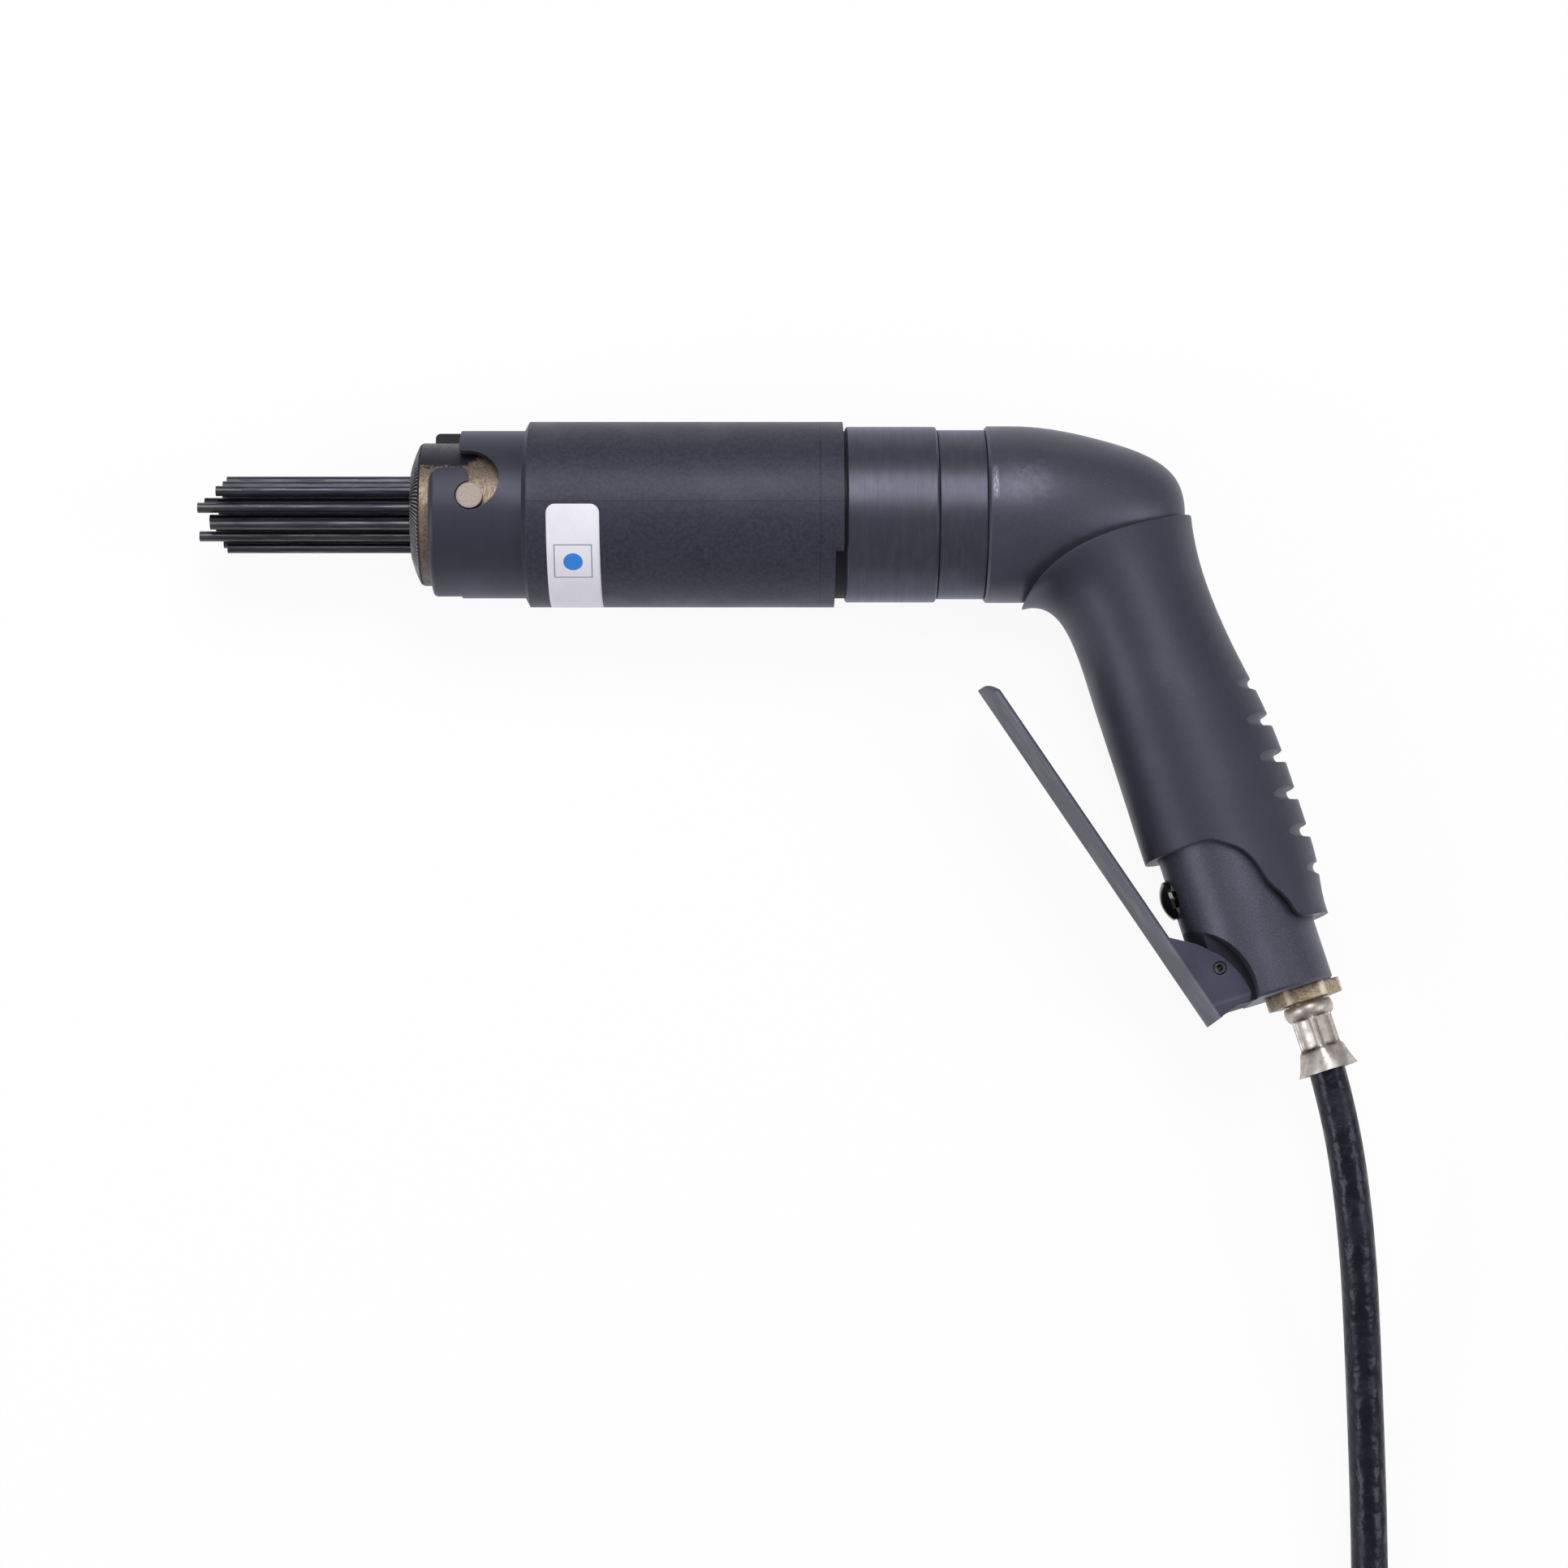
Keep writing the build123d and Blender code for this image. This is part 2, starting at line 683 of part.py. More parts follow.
# Handle housing: a cast elbow with a spigot, and a round stem for the grip
with BuildPart() as handle_housing:
    with BuildSketch(side):
        with BuildLine():
            Polyline(
                (air_gallery_end_x, 0),
                (air_gallery_end_x, air_gallery_radius),
                (valve_cover_rear_x, air_gallery_radius),
                (valve_cover_rear_x, valve_plate_radius + seat_gap),
                (cylinder_rear_x, valve_plate_radius + seat_gap),
                (cylinder_rear_x, joint_radius),
                (elbow_front_x, joint_radius),
                (elbow_front_x, lip_radius - lip_edge),
                (elbow_front_x + lip_edge, lip_radius),
                (lip_rear_x, lip_radius),
            )
            elbow_curve(0)
            Line((elbow_end_x, 0), (air_gallery_end_x, 0))
        make_face()
    revolve(axis=barrel_axis)
    with BuildSketch(side):
        with Locations((seal_x, joint_radius - 2 * seal_wire_radius)):
            Rectangle(seal_groove_width, 3 * seal_wire_radius, align=(Align.CENTER, Align.MIN))
    revolve(axis=barrel_axis, mode=Mode.SUBTRACT)
    with BuildSketch(across_grip(core_start)):
        Circle(core_radius)
    extrude(amount=core_length - core_start)
    with BuildSketch(across_barrel(valve_cover_rear_x)):
        Circle(air_gallery_radius)
    extrude(amount=air_gallery_end_x - valve_cover_rear_x, mode=Mode.SUBTRACT)
    bottom_rim = handle_housing.faces().sort_by(Axis(grip_origin, down_dir))[-1].edges()
    chamfer(bottom_rim, length=core_edge)
    with BuildSketch(pivot_side):
        Circle(lug_radius)
    extrude(amount=lug_half_width, both=True)
    for offset_side in (1, -1):
        with BuildSketch(pivot_side.offset(offset_side * lug_half_width)):
            with Locations(recess_centre):
                Circle(recess_radius)
        extrude(amount=offset_side * core_radius, mode=Mode.SUBTRACT)
    with BuildSketch(pivot_side):
        with BuildLine():
            Polyline(
                (0, -2 * core_radius),
                (lever_heel_drop, -2 * core_radius),
                (lever_heel_drop, free_gap - lever_heel_front),
                (0, free_gap - lever_heel_front - lever_slope * lever_heel_drop),
                close=True,
            )
        make_face()
    extrude(amount=core_radius, both=True, mode=Mode.SUBTRACT)
    with BuildSketch(pivot_side):
        Circle(lever_pin_radius)
    extrude(amount=core_radius, both=True, mode=Mode.SUBTRACT)
    with BuildSketch(pivot_side):
        Circle(lug_radius)
        Rectangle(2 * lug_radius, core_radius, align=(Align.CENTER, Align.MAX))
    extrude(amount=lever_spring_slot / 2, both=True, mode=Mode.SUBTRACT)
    with BuildSketch(across_grip(core_length)):
        with Locations((inlet_back, 0)):
            Circle(inlet_thread_radius)
    extrude(amount=-inlet_thread_depth, mode=Mode.SUBTRACT)
    with BuildSketch(across_grip(core_length)):
        with Locations((inlet_back, 0)):
            Circle(passage_radius)
    extrude(amount=valve_down - core_length, mode=Mode.SUBTRACT)
    with BuildSketch(Plane(origin=grip_point(valve_down, -core_radius), x_dir=down_dir, z_dir=back_dir)):
        Circle(button_radius + free_gap)
    extrude(amount=valve_bush_recess, mode=Mode.SUBTRACT)
    with BuildSketch(Plane(origin=grip_point(valve_down, -core_radius), x_dir=down_dir, z_dir=back_dir)):
        Circle(valve_bore_radius)
    extrude(amount=core_radius + valve_bore_end, mode=Mode.SUBTRACT)
    with BuildSketch(across_grip(valve_down)):
        Circle(passage_radius)
    extrude(amount=-valve_down, mode=Mode.SUBTRACT)
finish(handle_housing, "handle_housing")

# Grip cover: a moulded shell over the stem and the underside of the elbow, cut to a wavy lower edge
cover_step = (core_length - cover_foot_rise - cover_top_down) / (len(cover_front_walls) - 1)
edge_front = from_elbow(cover_edge_front)
edge_bend = from_elbow(cover_edge_bend)
edge_top = from_elbow(cover_edge_top)
edge_back = from_elbow(cover_edge_back)
hem_start = (core_length - cover_hem_front, cover_hem_turn)
hem_wave = [(core_length - rise, back) for rise, back in cover_hem_wave]
hem_end = (core_length - cover_hem_back, cover_hem_end)
groove_outer = cover_bore + groove_floor + groove_radius
groove_axis = Axis(grip_point(0, groove_centre_back), down_dir)
cover_sections = list(cover_flare)
for station, (front_wall, back_wall) in enumerate(zip(cover_front_walls, cover_back_walls)):
    down = cover_top_down + station * cover_step
    cover_sections.append(((down, front_wall), (down, back_wall), cover_wall))
with BuildPart() as grip_cover:
    for (front_down, front_wall), (back_down, back_wall), side_wall in cover_sections:
        front = grip_point(front_down, -cover_bore - front_wall)
        across = grip_point(back_down, cover_bore + back_wall) - front
        leaning = Plane(origin=front + across * 0.5, x_dir=across, z_dir=across.cross(Vector(0, 0, 1)))
        with BuildSketch(leaning):
            Ellipse(across.length / 2, cover_bore + side_wall)
    loft()
    with BuildSketch(side):
        with BuildLine():
            Spline(edge_front, edge_bend, edge_top, edge_back)
            Polyline(
                edge_back,
                (edge_back[0], 2 * sleeve_radius),
                (ring_front_x, 2 * sleeve_radius),
                (ring_front_x, -2 * sleeve_radius),
                (edge_front[0], -2 * sleeve_radius),
                edge_front,
            )
        make_face()
    extrude(amount=2 * sleeve_radius, both=True, mode=Mode.SUBTRACT)
    with BuildSketch(side):
        with BuildLine():
            Polyline(
                (elbow_end_x + cover_fit, 0),
                (elbow_front_x, 0),
                (elbow_front_x, lip_radius + cover_fit),
                (lip_rear_x, lip_radius + cover_fit),
            )
            elbow_curve(cover_fit)
        make_face()
    revolve(axis=barrel_axis, mode=Mode.SUBTRACT)
    with BuildSketch(across_grip(core_start - cover_fit)):
        Circle(cover_bore)
    extrude(amount=core_length - core_start, mode=Mode.SUBTRACT)
    with BuildSketch(grip_side):
        with BuildLine():
            Line((hem_start[0], -2 * core_radius), hem_start)
            Spline(hem_start, *hem_wave, hem_end, tangents=((0, 1), (0, 1)))
            Polyline(
                hem_end,
                (hem_end[0], 2 * core_radius),
                (core_length, 2 * core_radius),
                (core_length, -2 * core_radius),
                (hem_start[0], -2 * core_radius),
            )
        make_face()
    extrude(amount=2 * sleeve_radius, both=True, mode=Mode.SUBTRACT)
    with BuildSketch(grip_side):
        for groove in range(groove_count):
            with Locations((groove_first + groove * groove_pitch, groove_outer + groove * groove_rise)):
                Circle(groove_radius)
    revolve(axis=groove_axis, mode=Mode.SUBTRACT)
finish(grip_cover, "grip_cover")

# Lever: a strip with a slanted tip, folded into two ears at the pin, and a pad that meets the button
lever_along = down_dir * cos(radians(lever_angle)) + back_dir * sin(radians(lever_angle))
lever_out = down_dir * sin(radians(lever_angle)) - back_dir * cos(radians(lever_angle))
lever_face = Plane(origin=grip_point(lever_heel_down, lever_heel_back), x_dir=lever_along, z_dir=lever_out)
lever_side = lever_width / 2
strip_tip = (lever_tip_down - lever_heel_down) / cos(radians(lever_angle))
pad_along = (valve_down - lever_heel_down) / cos(radians(lever_angle))
near_corner = (strip_tip + lever_tip_skew, lever_side)
far_corner = (strip_tip, -lever_side)
with BuildPart() as lever:
    with BuildSketch(lever_face):
        with BuildLine():
            ThreePointArc(far_corner, (strip_tip + lever_tip_skew / 2 - lever_tip_bow, 0), near_corner)
            Polyline(near_corner, (0, lever_side), (0, -lever_side), far_corner)
        make_face()
    extrude(amount=lever_thickness)
    with BuildSketch(lever_face):
        with Locations((pad_along, 0)):
            Circle(lever_pad_radius)
    extrude(amount=-lever_pad_height)
    for offset_side in (1, -1):
        with BuildSketch(pivot_side.offset(offset_side * lever_inside)):
            with BuildLine():
                Polyline(*ear_front)
                ThreePointArc(ear_front[-1], ear_top, ear_rear)
                Polyline(ear_rear, *ear_bottom, ear_front[0])
            make_face()
            Circle(lever_pin_radius + running_gap, mode=Mode.SUBTRACT)
        extrude(amount=offset_side * lever_thickness)
    outer_face = lever.faces().sort_by(Axis(grip_origin, lever_out))[-1]
    fillet(outer_face.edges().filter_by(lambda edge: edge.length > lever_bend_edge), radius=lever_bend_round)
finish(lever, "lever")

# Hollow pin through the lever's ears and the housing's lug
with BuildPart() as lever_pin:
    with BuildSketch(pivot_side.offset(-lever_side)):
        Circle(lever_pin_radius)
        Circle(lever_pin_bore, mode=Mode.SUBTRACT)
    extrude(amount=lever_width)
    chamfer(lever_pin.edges().filter_by(GeomType.CIRCLE).group_by(SortBy.RADIUS)[-1], length=lever_pin_edge)
finish(lever_pin, "lever_pin")

# Torsion spring on the pin, with a short leg at each end
lever_spring_height = lever_spring_slot - 2 * lever_spring_wire - 2 * free_gap
lever_spring_radius = lever_pin_radius + lever_spring_wire + free_gap
with BuildPart() as lever_spring:
    with BuildLine():
        lever_coil = Helix(
            pitch=lever_spring_height / lever_spring_turns,
            height=lever_spring_height,
            radius=lever_spring_radius,
            center=pivot - Vector(0, 0, lever_spring_height / 2),
        )
    with BuildSketch(Plane(origin=lever_coil @ 0, z_dir=lever_coil % 0)):
        Circle(lever_spring_wire)
    sweep(path=lever_coil, is_frenet=True)
    for place, heading in ((lever_coil @ 0, (lever_coil % 0) * -1), (lever_coil @ 1, lever_coil % 1)):
        with BuildSketch(Plane(origin=place, z_dir=heading)):
            Circle(lever_spring_wire)
        extrude(amount=lever_spring_leg)
finish(lever_spring, "lever_spring")

# Valve bush, with a seat at its inner end, a groove for the stem's seal and two air ports
with BuildPart() as valve_bush:
    with BuildSketch(grip_side):
        with Locations((valve_down + button_stem_radius + running_gap, valve_bush_front)):
            Rectangle(
                valve_bore_radius - seat_gap - button_stem_radius - running_gap,
                valve_bush_end - valve_bush_front,
                align=(Align.MIN, Align.MIN),
            )
        with Locations((valve_down + button_stem_radius, stem_seal_back)):
            Rectangle(
                2 * stem_seal_wire + running_gap,
                2 * stem_seal_wire + 2 * seat_gap,
                align=(Align.MIN, Align.CENTER),
                mode=Mode.SUBTRACT,
            )
    revolve(axis=button_axis)
    with BuildSketch(across_grip(valve_down - valve_bore_radius)):
        with Locations((valve_port_back, 0)):
            Circle(bush_port_radius)
    extrude(amount=2 * valve_bore_radius, mode=Mode.SUBTRACT)
finish(valve_bush, "valve_bush")

# Rubber ring round the button's stem
with BuildPart() as stem_seal:
    with BuildSketch(grip_side):
        with Locations((valve_down + button_stem_radius + running_gap / 2 + stem_seal_wire, stem_seal_back)):
            Circle(stem_seal_wire)
    revolve(axis=button_axis)
finish(stem_seal, "stem_seal")

# Throttle button: a domed head, a stem through the bush and a poppet on its seat
poppet_front = valve_bush_end + seat_gap
poppet_rear = poppet_front + poppet_thickness
with BuildPart() as throttle_button:
    with BuildSketch(grip_side):
        with BuildLine():
            ThreePointArc(
                (valve_down, button_top_back),
                (valve_down + button_dome_mid, button_top_back + button_dome_drop),
                (valve_down + button_radius, button_base_back - button_rim),
            )
            Polyline(
                (valve_down + button_radius, button_base_back - button_rim),
                (valve_down + button_radius, button_base_back),
                (valve_down + button_stem_radius, button_base_back),
                (valve_down + button_stem_radius, poppet_front),
                (valve_down + poppet_radius, poppet_front),
                (valve_down + poppet_radius, poppet_rear),
                (valve_down, poppet_rear),
                (valve_down, button_top_back),
            )
        make_face()
    revolve(axis=button_axis)
finish(throttle_button, "throttle_button")

# Spring that shuts the poppet
poppet_spring_height = valve_bore_end - poppet_rear - 2 * poppet_spring_wire - 2 * free_gap
with BuildPart() as poppet_spring:
    with BuildLine():
        poppet_coil = Helix(
            pitch=poppet_spring_height / poppet_spring_turns,
            height=poppet_spring_height,
            radius=poppet_spring_radius,
            center=grip_point(valve_down, poppet_rear + poppet_spring_wire + free_gap),
            direction=back_dir,
        )
    with BuildSketch(Plane(origin=poppet_coil @ 0, z_dir=poppet_coil % 0)):
        Circle(poppet_spring_wire)
    sweep(path=poppet_coil, is_frenet=True)
finish(poppet_spring, "poppet_spring")

# Brass inlet nipple: a threaded shank, a hexagon and a tail for the hose
with BuildPart() as inlet_nipple:
    with BuildSketch(across_grip(core_length - nipple_shank)):
        with Locations((inlet_back, 0)):
            Circle(inlet_thread_radius - seat_gap)
    extrude(amount=nipple_shank)
    with BuildSketch(across_grip(core_length)):
        with Locations((inlet_back, 0)):
            RegularPolygon(hex_across / 2, 6, major_radius=False, rotation=hex_turn)
    extrude(amount=hex_length)
    with BuildSketch(across_grip(core_length + hex_length)):
        with Locations((inlet_back, 0)):
            Circle(nipple_tail)
    extrude(amount=hose_start - core_length - hex_length)
    with BuildSketch(across_grip(core_length - nipple_shank)):
        with Locations((inlet_back, 0)):
            Circle(nipple_bore)
    extrude(amount=hose_start - core_length + nipple_shank, mode=Mode.SUBTRACT)
finish(inlet_nipple, "inlet_nipple")

# Half section of a crimped ferrule, x from its collar towards the hose and y from its axis
skirt_start = ferrule_collar_length + ferrule_neck_length
ferrule_length = skirt_start + ferrule_skirt_length
collar_bore = nipple_tail + seat_gap
with BuildSketch() as ferrule_section:
    with BuildLine():
        Line((0, collar_bore), (0, ferrule_neck_radius))
        ThreePointArc(
            (0, ferrule_neck_radius),
            (ferrule_collar_length / 2, ferrule_collar_radius),
            (ferrule_collar_length, ferrule_neck_radius),
        )
        Line((ferrule_collar_length, ferrule_neck_radius), (skirt_start, ferrule_neck_radius))
        ThreePointArc(
            (skirt_start, ferrule_neck_radius),
            (skirt_start + ferrule_skirt_length / 2, ferrule_neck_radius + ferrule_flare),
            (ferrule_length, ferrule_skirt_radius),
        )
        Polyline(
            (ferrule_length, ferrule_skirt_radius),
            (ferrule_length, ferrule_skirt_radius - ferrule_rim),
            (skirt_start, ferrule_bore),
            (ferrule_collar_length, ferrule_bore),
            (ferrule_collar_length, collar_bore),
            (0, collar_bore),
        )
    make_face()

# The ring that a six-sided crimp takes off a ferrule's neck
with BuildSketch() as crimp_section:
    Circle(ferrule_skirt_radius)
    RegularPolygon(ferrule_bore + crimp_wall, 6, major_radius=False, rotation=30, mode=Mode.SUBTRACT)

# Ferrule crimped over the hose at the handle
ferrule_plane = Plane(origin=grip_point(ferrule_start, inlet_back), x_dir=down_dir, z_dir=(0, 0, 1))
with BuildPart() as hose_ferrule:
    with BuildSketch(ferrule_plane):
        add(ferrule_section.sketch)
    revolve(axis=inlet_axis)
    with BuildSketch(across_grip(hose_start + crimp_margin)):
        with Locations((inlet_back, 0)):
            add(crimp_section.sketch)
    extrude(amount=ferrule_neck_length - 2 * crimp_margin, mode=Mode.SUBTRACT)
finish(hose_ferrule, "hose_ferrule")

# Coil: half circles in to the smallest, up there, then out again in an upper layer and down to the floor
coil_z = tie_thickness + tie_gap + hose_radius
coil_top_z = coil_z + coil_pitch
end_z = plug_hex_across / 2
with BuildPart() as hose_coil:
    with BuildLine() as coil_line:
        coil_start = Vector(coil_x + coil_radius, coil_y, coil_z)
        Line(coil_start + Vector(0, coil_straight, 0), coil_start)
        place = coil_start
        heading = -1
        for half in range(coil_halves):
            radius = coil_radius - coil_step * (coil_climb - abs(half - coil_climb))
            if half == coil_halves - 1:
                radius = radius + coil_exit / 2
            rise = coil_pitch if half == coil_climb else 0
            side_step = -2 * radius * (1 if half % 2 == 0 else -1)
            end = place + Vector(side_step, 0, rise)
            middle = (place + end) * 0.5
            half_length = (end - place).length / 2
            ThreePointArc(place, middle + Vector(0, heading * half_length, 0), end)
            place = end
            heading = -heading
        drop_angle = acos(1 - (coil_top_z - end_z) / (2 * drop_radius))
        half_bend = Vector(0, -sin(drop_angle / 2), cos(drop_angle / 2) - 1) * drop_radius
        bend = Vector(0, -sin(drop_angle), cos(drop_angle) - 1) * drop_radius
        ThreePointArc(place, place + half_bend, place + bend)
        ThreePointArc(place + bend, place + bend * 2 - half_bend, place + bend * 2)
        place = place + bend * 2
        coil_end = place - Vector(0, coil_straight + ferrule_end - hose_start, 0)
        Line(place, coil_end)
    coil_wire = coil_line.wire()
    with BuildSketch(Plane(origin=coil_wire @ 0, z_dir=coil_wire % 0)):
        Circle(hose_radius)
    sweep(path=coil_wire)
finish(hose_coil, "hose_coil")
coil_length = coil_wire.length
coil_samples = 750
coil_points = [coil_wire @ (number / coil_samples) for number in range(coil_samples + 1)]
quarter_turn = round(coil_samples * coil_radius * pi / 2 / coil_length)
coil_gap = min(
    (coil_points[first] - coil_points[second]).length - 2 * hose_radius
    for first in range(coil_samples + 1)
    for second in range(first + quarter_turn, coil_samples + 1)
)
print("coil length", round(coil_length, 1), "least gap", round(coil_gap, 2))
print("coil volume ratio", round(hose_coil.part.volume / (pi * hose_radius**2 * coil_length), 4))

# Lead: from inside the ferrule, down to the floor and along it to the coil
lead_points = [
    grip_point(hose_start, inlet_back),
    grip_point(ferrule_end + lead_straight, inlet_back),
    *(Vector(*point) for point in lead_route),
    Vector(coil_x + coil_radius, lead_last_y, coil_z),
    coil_start + Vector(0, coil_straight, 0),
]
lead_radii = []
for before, corner, after in zip(lead_points, lead_points[1:], lead_points[2:]):
    turn = (corner - before).get_angle(after - corner)
    shorter = min((corner - before).length, (after - corner).length)
    lead_radii.append(lead_bend_share * shorter / tan(radians(turn / 2)))
print("lead radii", [round(radius) for radius in lead_radii])
with BuildPart() as hose_lead:
    with BuildLine() as lead_line:
        FilletPolyline(*lead_points, radius=lead_radii)
    lead_wire = lead_line.wire()
    with BuildSketch(Plane(origin=lead_wire @ 0, z_dir=lead_wire % 0)):
        Circle(hose_radius)
    sweep(path=lead_wire)
finish(hose_lead, "hose_lead")
lead_length = lead_wire.length
print("lead length", round(lead_length, 1))
print("lead volume ratio", round(hose_lead.part.volume / (pi * hose_radius**2 * lead_length), 4))

# Strap round the coil's turns
tie_spots = []
for half in (0, 2):
    tie_spots.append((coil_radius - coil_step * half, coil_z))
for half in (2, 4):
    tie_spots.append((coil_radius - coil_step * half, coil_top_z))
tie_plane = Plane(origin=(coil_x, coil_y, 0), x_dir=(-1, 0, 0), z_dir=(0, 1, 0))
with BuildPart() as hose_tie:
    tie_inside = hose_radius + tie_gap
    for radius, mode in ((tie_inside + tie_thickness, Mode.ADD), (tie_inside, Mode.SUBTRACT)):
        with BuildSketch(tie_plane):
            with Locations(*tie_spots):
                Circle(radius)
            make_hull()
        extrude(amount=tie_width / 2, both=True, mode=mode)
finish(hose_tie, "hose_tie")

# Ferrule and plug at the hose's free end
end_ferrule_plane = Plane(
    origin=coil_end - Vector(0, ferrule_collar_length, 0), x_dir=(0, 1, 0), z_dir=(0, 0, 1)
)
end_axis = Axis(coil_end, (0, -1, 0))
with BuildPart() as hose_end_ferrule:
    with BuildSketch(end_ferrule_plane):
        add(ferrule_section.sketch)
    revolve(axis=end_axis)
    with BuildSketch(Plane(origin=coil_end, z_dir=(0, 1, 0)).offset(crimp_margin)):
        add(crimp_section.sketch)
    extrude(amount=ferrule_neck_length - 2 * crimp_margin, mode=Mode.SUBTRACT)
finish(hose_end_ferrule, "hose_end_ferrule")

plug_plane = Plane(origin=coil_end, x_dir=(0, -1, 0), z_dir=(0, 0, 1))
plug_hex_start = ferrule_collar_length + ferrule_gap
plug_hex_end = plug_hex_start + plug_hex_length
with BuildPart() as hose_end_plug:
    with BuildSketch(plug_plane):
        with BuildLine():
            Polyline(
                (0, plug_bore),
                (0, nipple_tail),
                (plug_hex_end, nipple_tail),
                (plug_hex_end, plug_stem_radius),
                (plug_hex_end + plug_neck_start, plug_stem_radius),
                (plug_hex_end + plug_neck_start + plug_slope, plug_neck_radius),
                (plug_hex_end + plug_neck_end, plug_neck_radius),
                (plug_hex_end + plug_neck_end + plug_slope, plug_shoulder_radius),
                (plug_hex_end + plug_shoulder_end, plug_shoulder_radius),
                (plug_hex_end + plug_shoulder_end + plug_slope, plug_tip_radius),
                (plug_hex_end + plug_length, plug_tip_radius),
                (plug_hex_end + plug_length, plug_bore),
                close=True,
            )
        make_face()
    revolve(axis=end_axis)
    with BuildSketch(Plane(origin=coil_end, z_dir=(0, -1, 0)).offset(plug_hex_start)):
        RegularPolygon(plug_hex_across / 2, 6, major_radius=False, rotation=30)
        Circle(plug_bore, mode=Mode.SUBTRACT)
    extrude(amount=plug_hex_length)
finish(hose_end_plug, "hose_end_plug")
print("hose length", round(coil_length + lead_length, 1))
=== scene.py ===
# %% [markdown]
# A needle scaler is a small air hammer. A piston beats on an anvil, the anvil drives nineteen
# loose steel needles, and the needles knock rust and scale off steel.
# The measured model has every hard piece in its place, so the lesson starts by loading it.
# What is left is the hose, a few formed pieces and the finish of each surface.

# %% Load the measured model
import math

import bpy
import numpy as np
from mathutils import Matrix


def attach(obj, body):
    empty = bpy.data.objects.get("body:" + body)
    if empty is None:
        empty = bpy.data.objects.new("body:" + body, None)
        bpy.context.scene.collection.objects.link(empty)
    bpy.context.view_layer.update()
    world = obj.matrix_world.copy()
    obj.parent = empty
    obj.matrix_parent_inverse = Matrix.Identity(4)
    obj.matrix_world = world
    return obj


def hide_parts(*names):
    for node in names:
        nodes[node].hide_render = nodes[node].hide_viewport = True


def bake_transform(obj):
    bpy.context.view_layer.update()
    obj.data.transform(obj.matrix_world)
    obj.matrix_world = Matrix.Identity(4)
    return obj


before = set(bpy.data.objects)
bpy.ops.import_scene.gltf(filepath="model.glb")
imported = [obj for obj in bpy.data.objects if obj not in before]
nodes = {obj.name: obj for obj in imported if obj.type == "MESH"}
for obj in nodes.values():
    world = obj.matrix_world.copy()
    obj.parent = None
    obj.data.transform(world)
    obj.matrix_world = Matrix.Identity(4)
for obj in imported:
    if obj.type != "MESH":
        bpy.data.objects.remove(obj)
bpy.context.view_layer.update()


def show(name, data):
    """Make an object of some data and put it in the scene."""
    made = bpy.data.objects.new(name, data)
    bpy.context.scene.collection.objects.link(made)
    return made


# %% [markdown]
# The tool lies on its side with the camera almost straight above it, leaning a little towards
# the low end of the picture. A camera with no turn looks straight down, so one small turn about X
# is the whole aim. A long lens keeps the barrel's two ends nearly the same size.
# The picture isn't centred on the lens, so there is a small sideways shift.

# %% Camera
LEAN = math.radians(9.3)
LENS_MM, SENSOR_MM, SIDE_SHIFT = 81.99, 36.0, 0.0264
CAMERA_AT = (-0.00525, -0.1862, 1.0483)
camera_data = bpy.data.cameras.new("bench_camera")
camera_data.lens = LENS_MM
camera_data.sensor_width = SENSOR_MM
camera_data.shift_x = SIDE_SHIFT
camera = show("bench_camera", camera_data)
camera.location = CAMERA_AT
camera.rotation_euler = (LEAN, 0.0, 0.0)
bpy.context.scene.camera = camera
print("lens", LENS_MM, "mm, lean", round(math.degrees(LEAN), 1), "degrees")

# %% [markdown]
# The air hose is 10.5 mm thick and stiff enough to keep a wide bend. It leaves the ferrule
# straight, sinks to the bench and runs to a flat coil of spare length, held by a strap.
# A smooth NURBS line with the route as its control points bends like a real hose.
# Each point carries the hose's radius, and a bevel depth of 1 takes it as it is.
# The coil is eight half turns: four winding in, one climbing to the upper layer, three winding out.

# %% Hose line
HOSE_RADIUS = 0.00525
COIL_X = 0.1086
COIL_Y = -0.338
COIL_RADIUS = 0.064
COIL_Z = 0.00675
LAYER_RISE = 0.0112
COIL_HALVES = 8
POINTS_PER_HALF = 8
CLIMB_HALF = 4
LAST_HALF_WIDER = 0.007
lead_points = np.array([
    (0.15755, -0.08622, 0.02715),
    (0.16463, -0.10936, 0.02715),
    (0.17000, -0.14700, 0.02300),
    (0.17280, -0.19200, 0.01150),
    (0.17400, -0.23800, 0.00570),
    (0.17260, -0.28300, 0.00675),
    (0.17260, -0.32600, 0.00675),
])
drop_points = np.array([
    (0.18660, -0.34960, 0.01795),
    (0.18660, -0.37300, 0.00850),
    (0.18660, -0.41318, 0.00850),
])


def coil_points():
    """Points of the coil. A half turn of radius R has eight, half a step off its ends, at R over
    the cosine of half a step, so that the smooth line between them keeps the radius R."""
    turns = []
    place, heading, height = COIL_X + COIL_RADIUS, -1, COIL_Z
    for half in range(COIL_HALVES):
        radius = COIL_RADIUS - LAYER_RISE / 2 * (CLIMB_HALF - abs(half - CLIMB_HALF))
        radius += LAST_HALF_WIDER if half == COIL_HALVES - 1 else 0.0
        rise = LAYER_RISE if half == CLIMB_HALF else 0.0
        travel = -1 if half % 2 == 0 else 1
        turn = (np.arange(POINTS_PER_HALF) + 0.5) * np.pi / POINTS_PER_HALF
        reach = radius / np.cos(np.pi / POINTS_PER_HALF / 2)
        x = place + travel * (radius - reach * np.cos(turn))
        y = COIL_Y + heading * reach * np.sin(turn)
        z = height + rise * (1 - np.cos(turn)) / 2
        turns.append(np.stack([x, y, z], axis=-1))
        place, heading, height = place + 2 * travel * radius, -heading, height + rise
    return np.concatenate(turns)


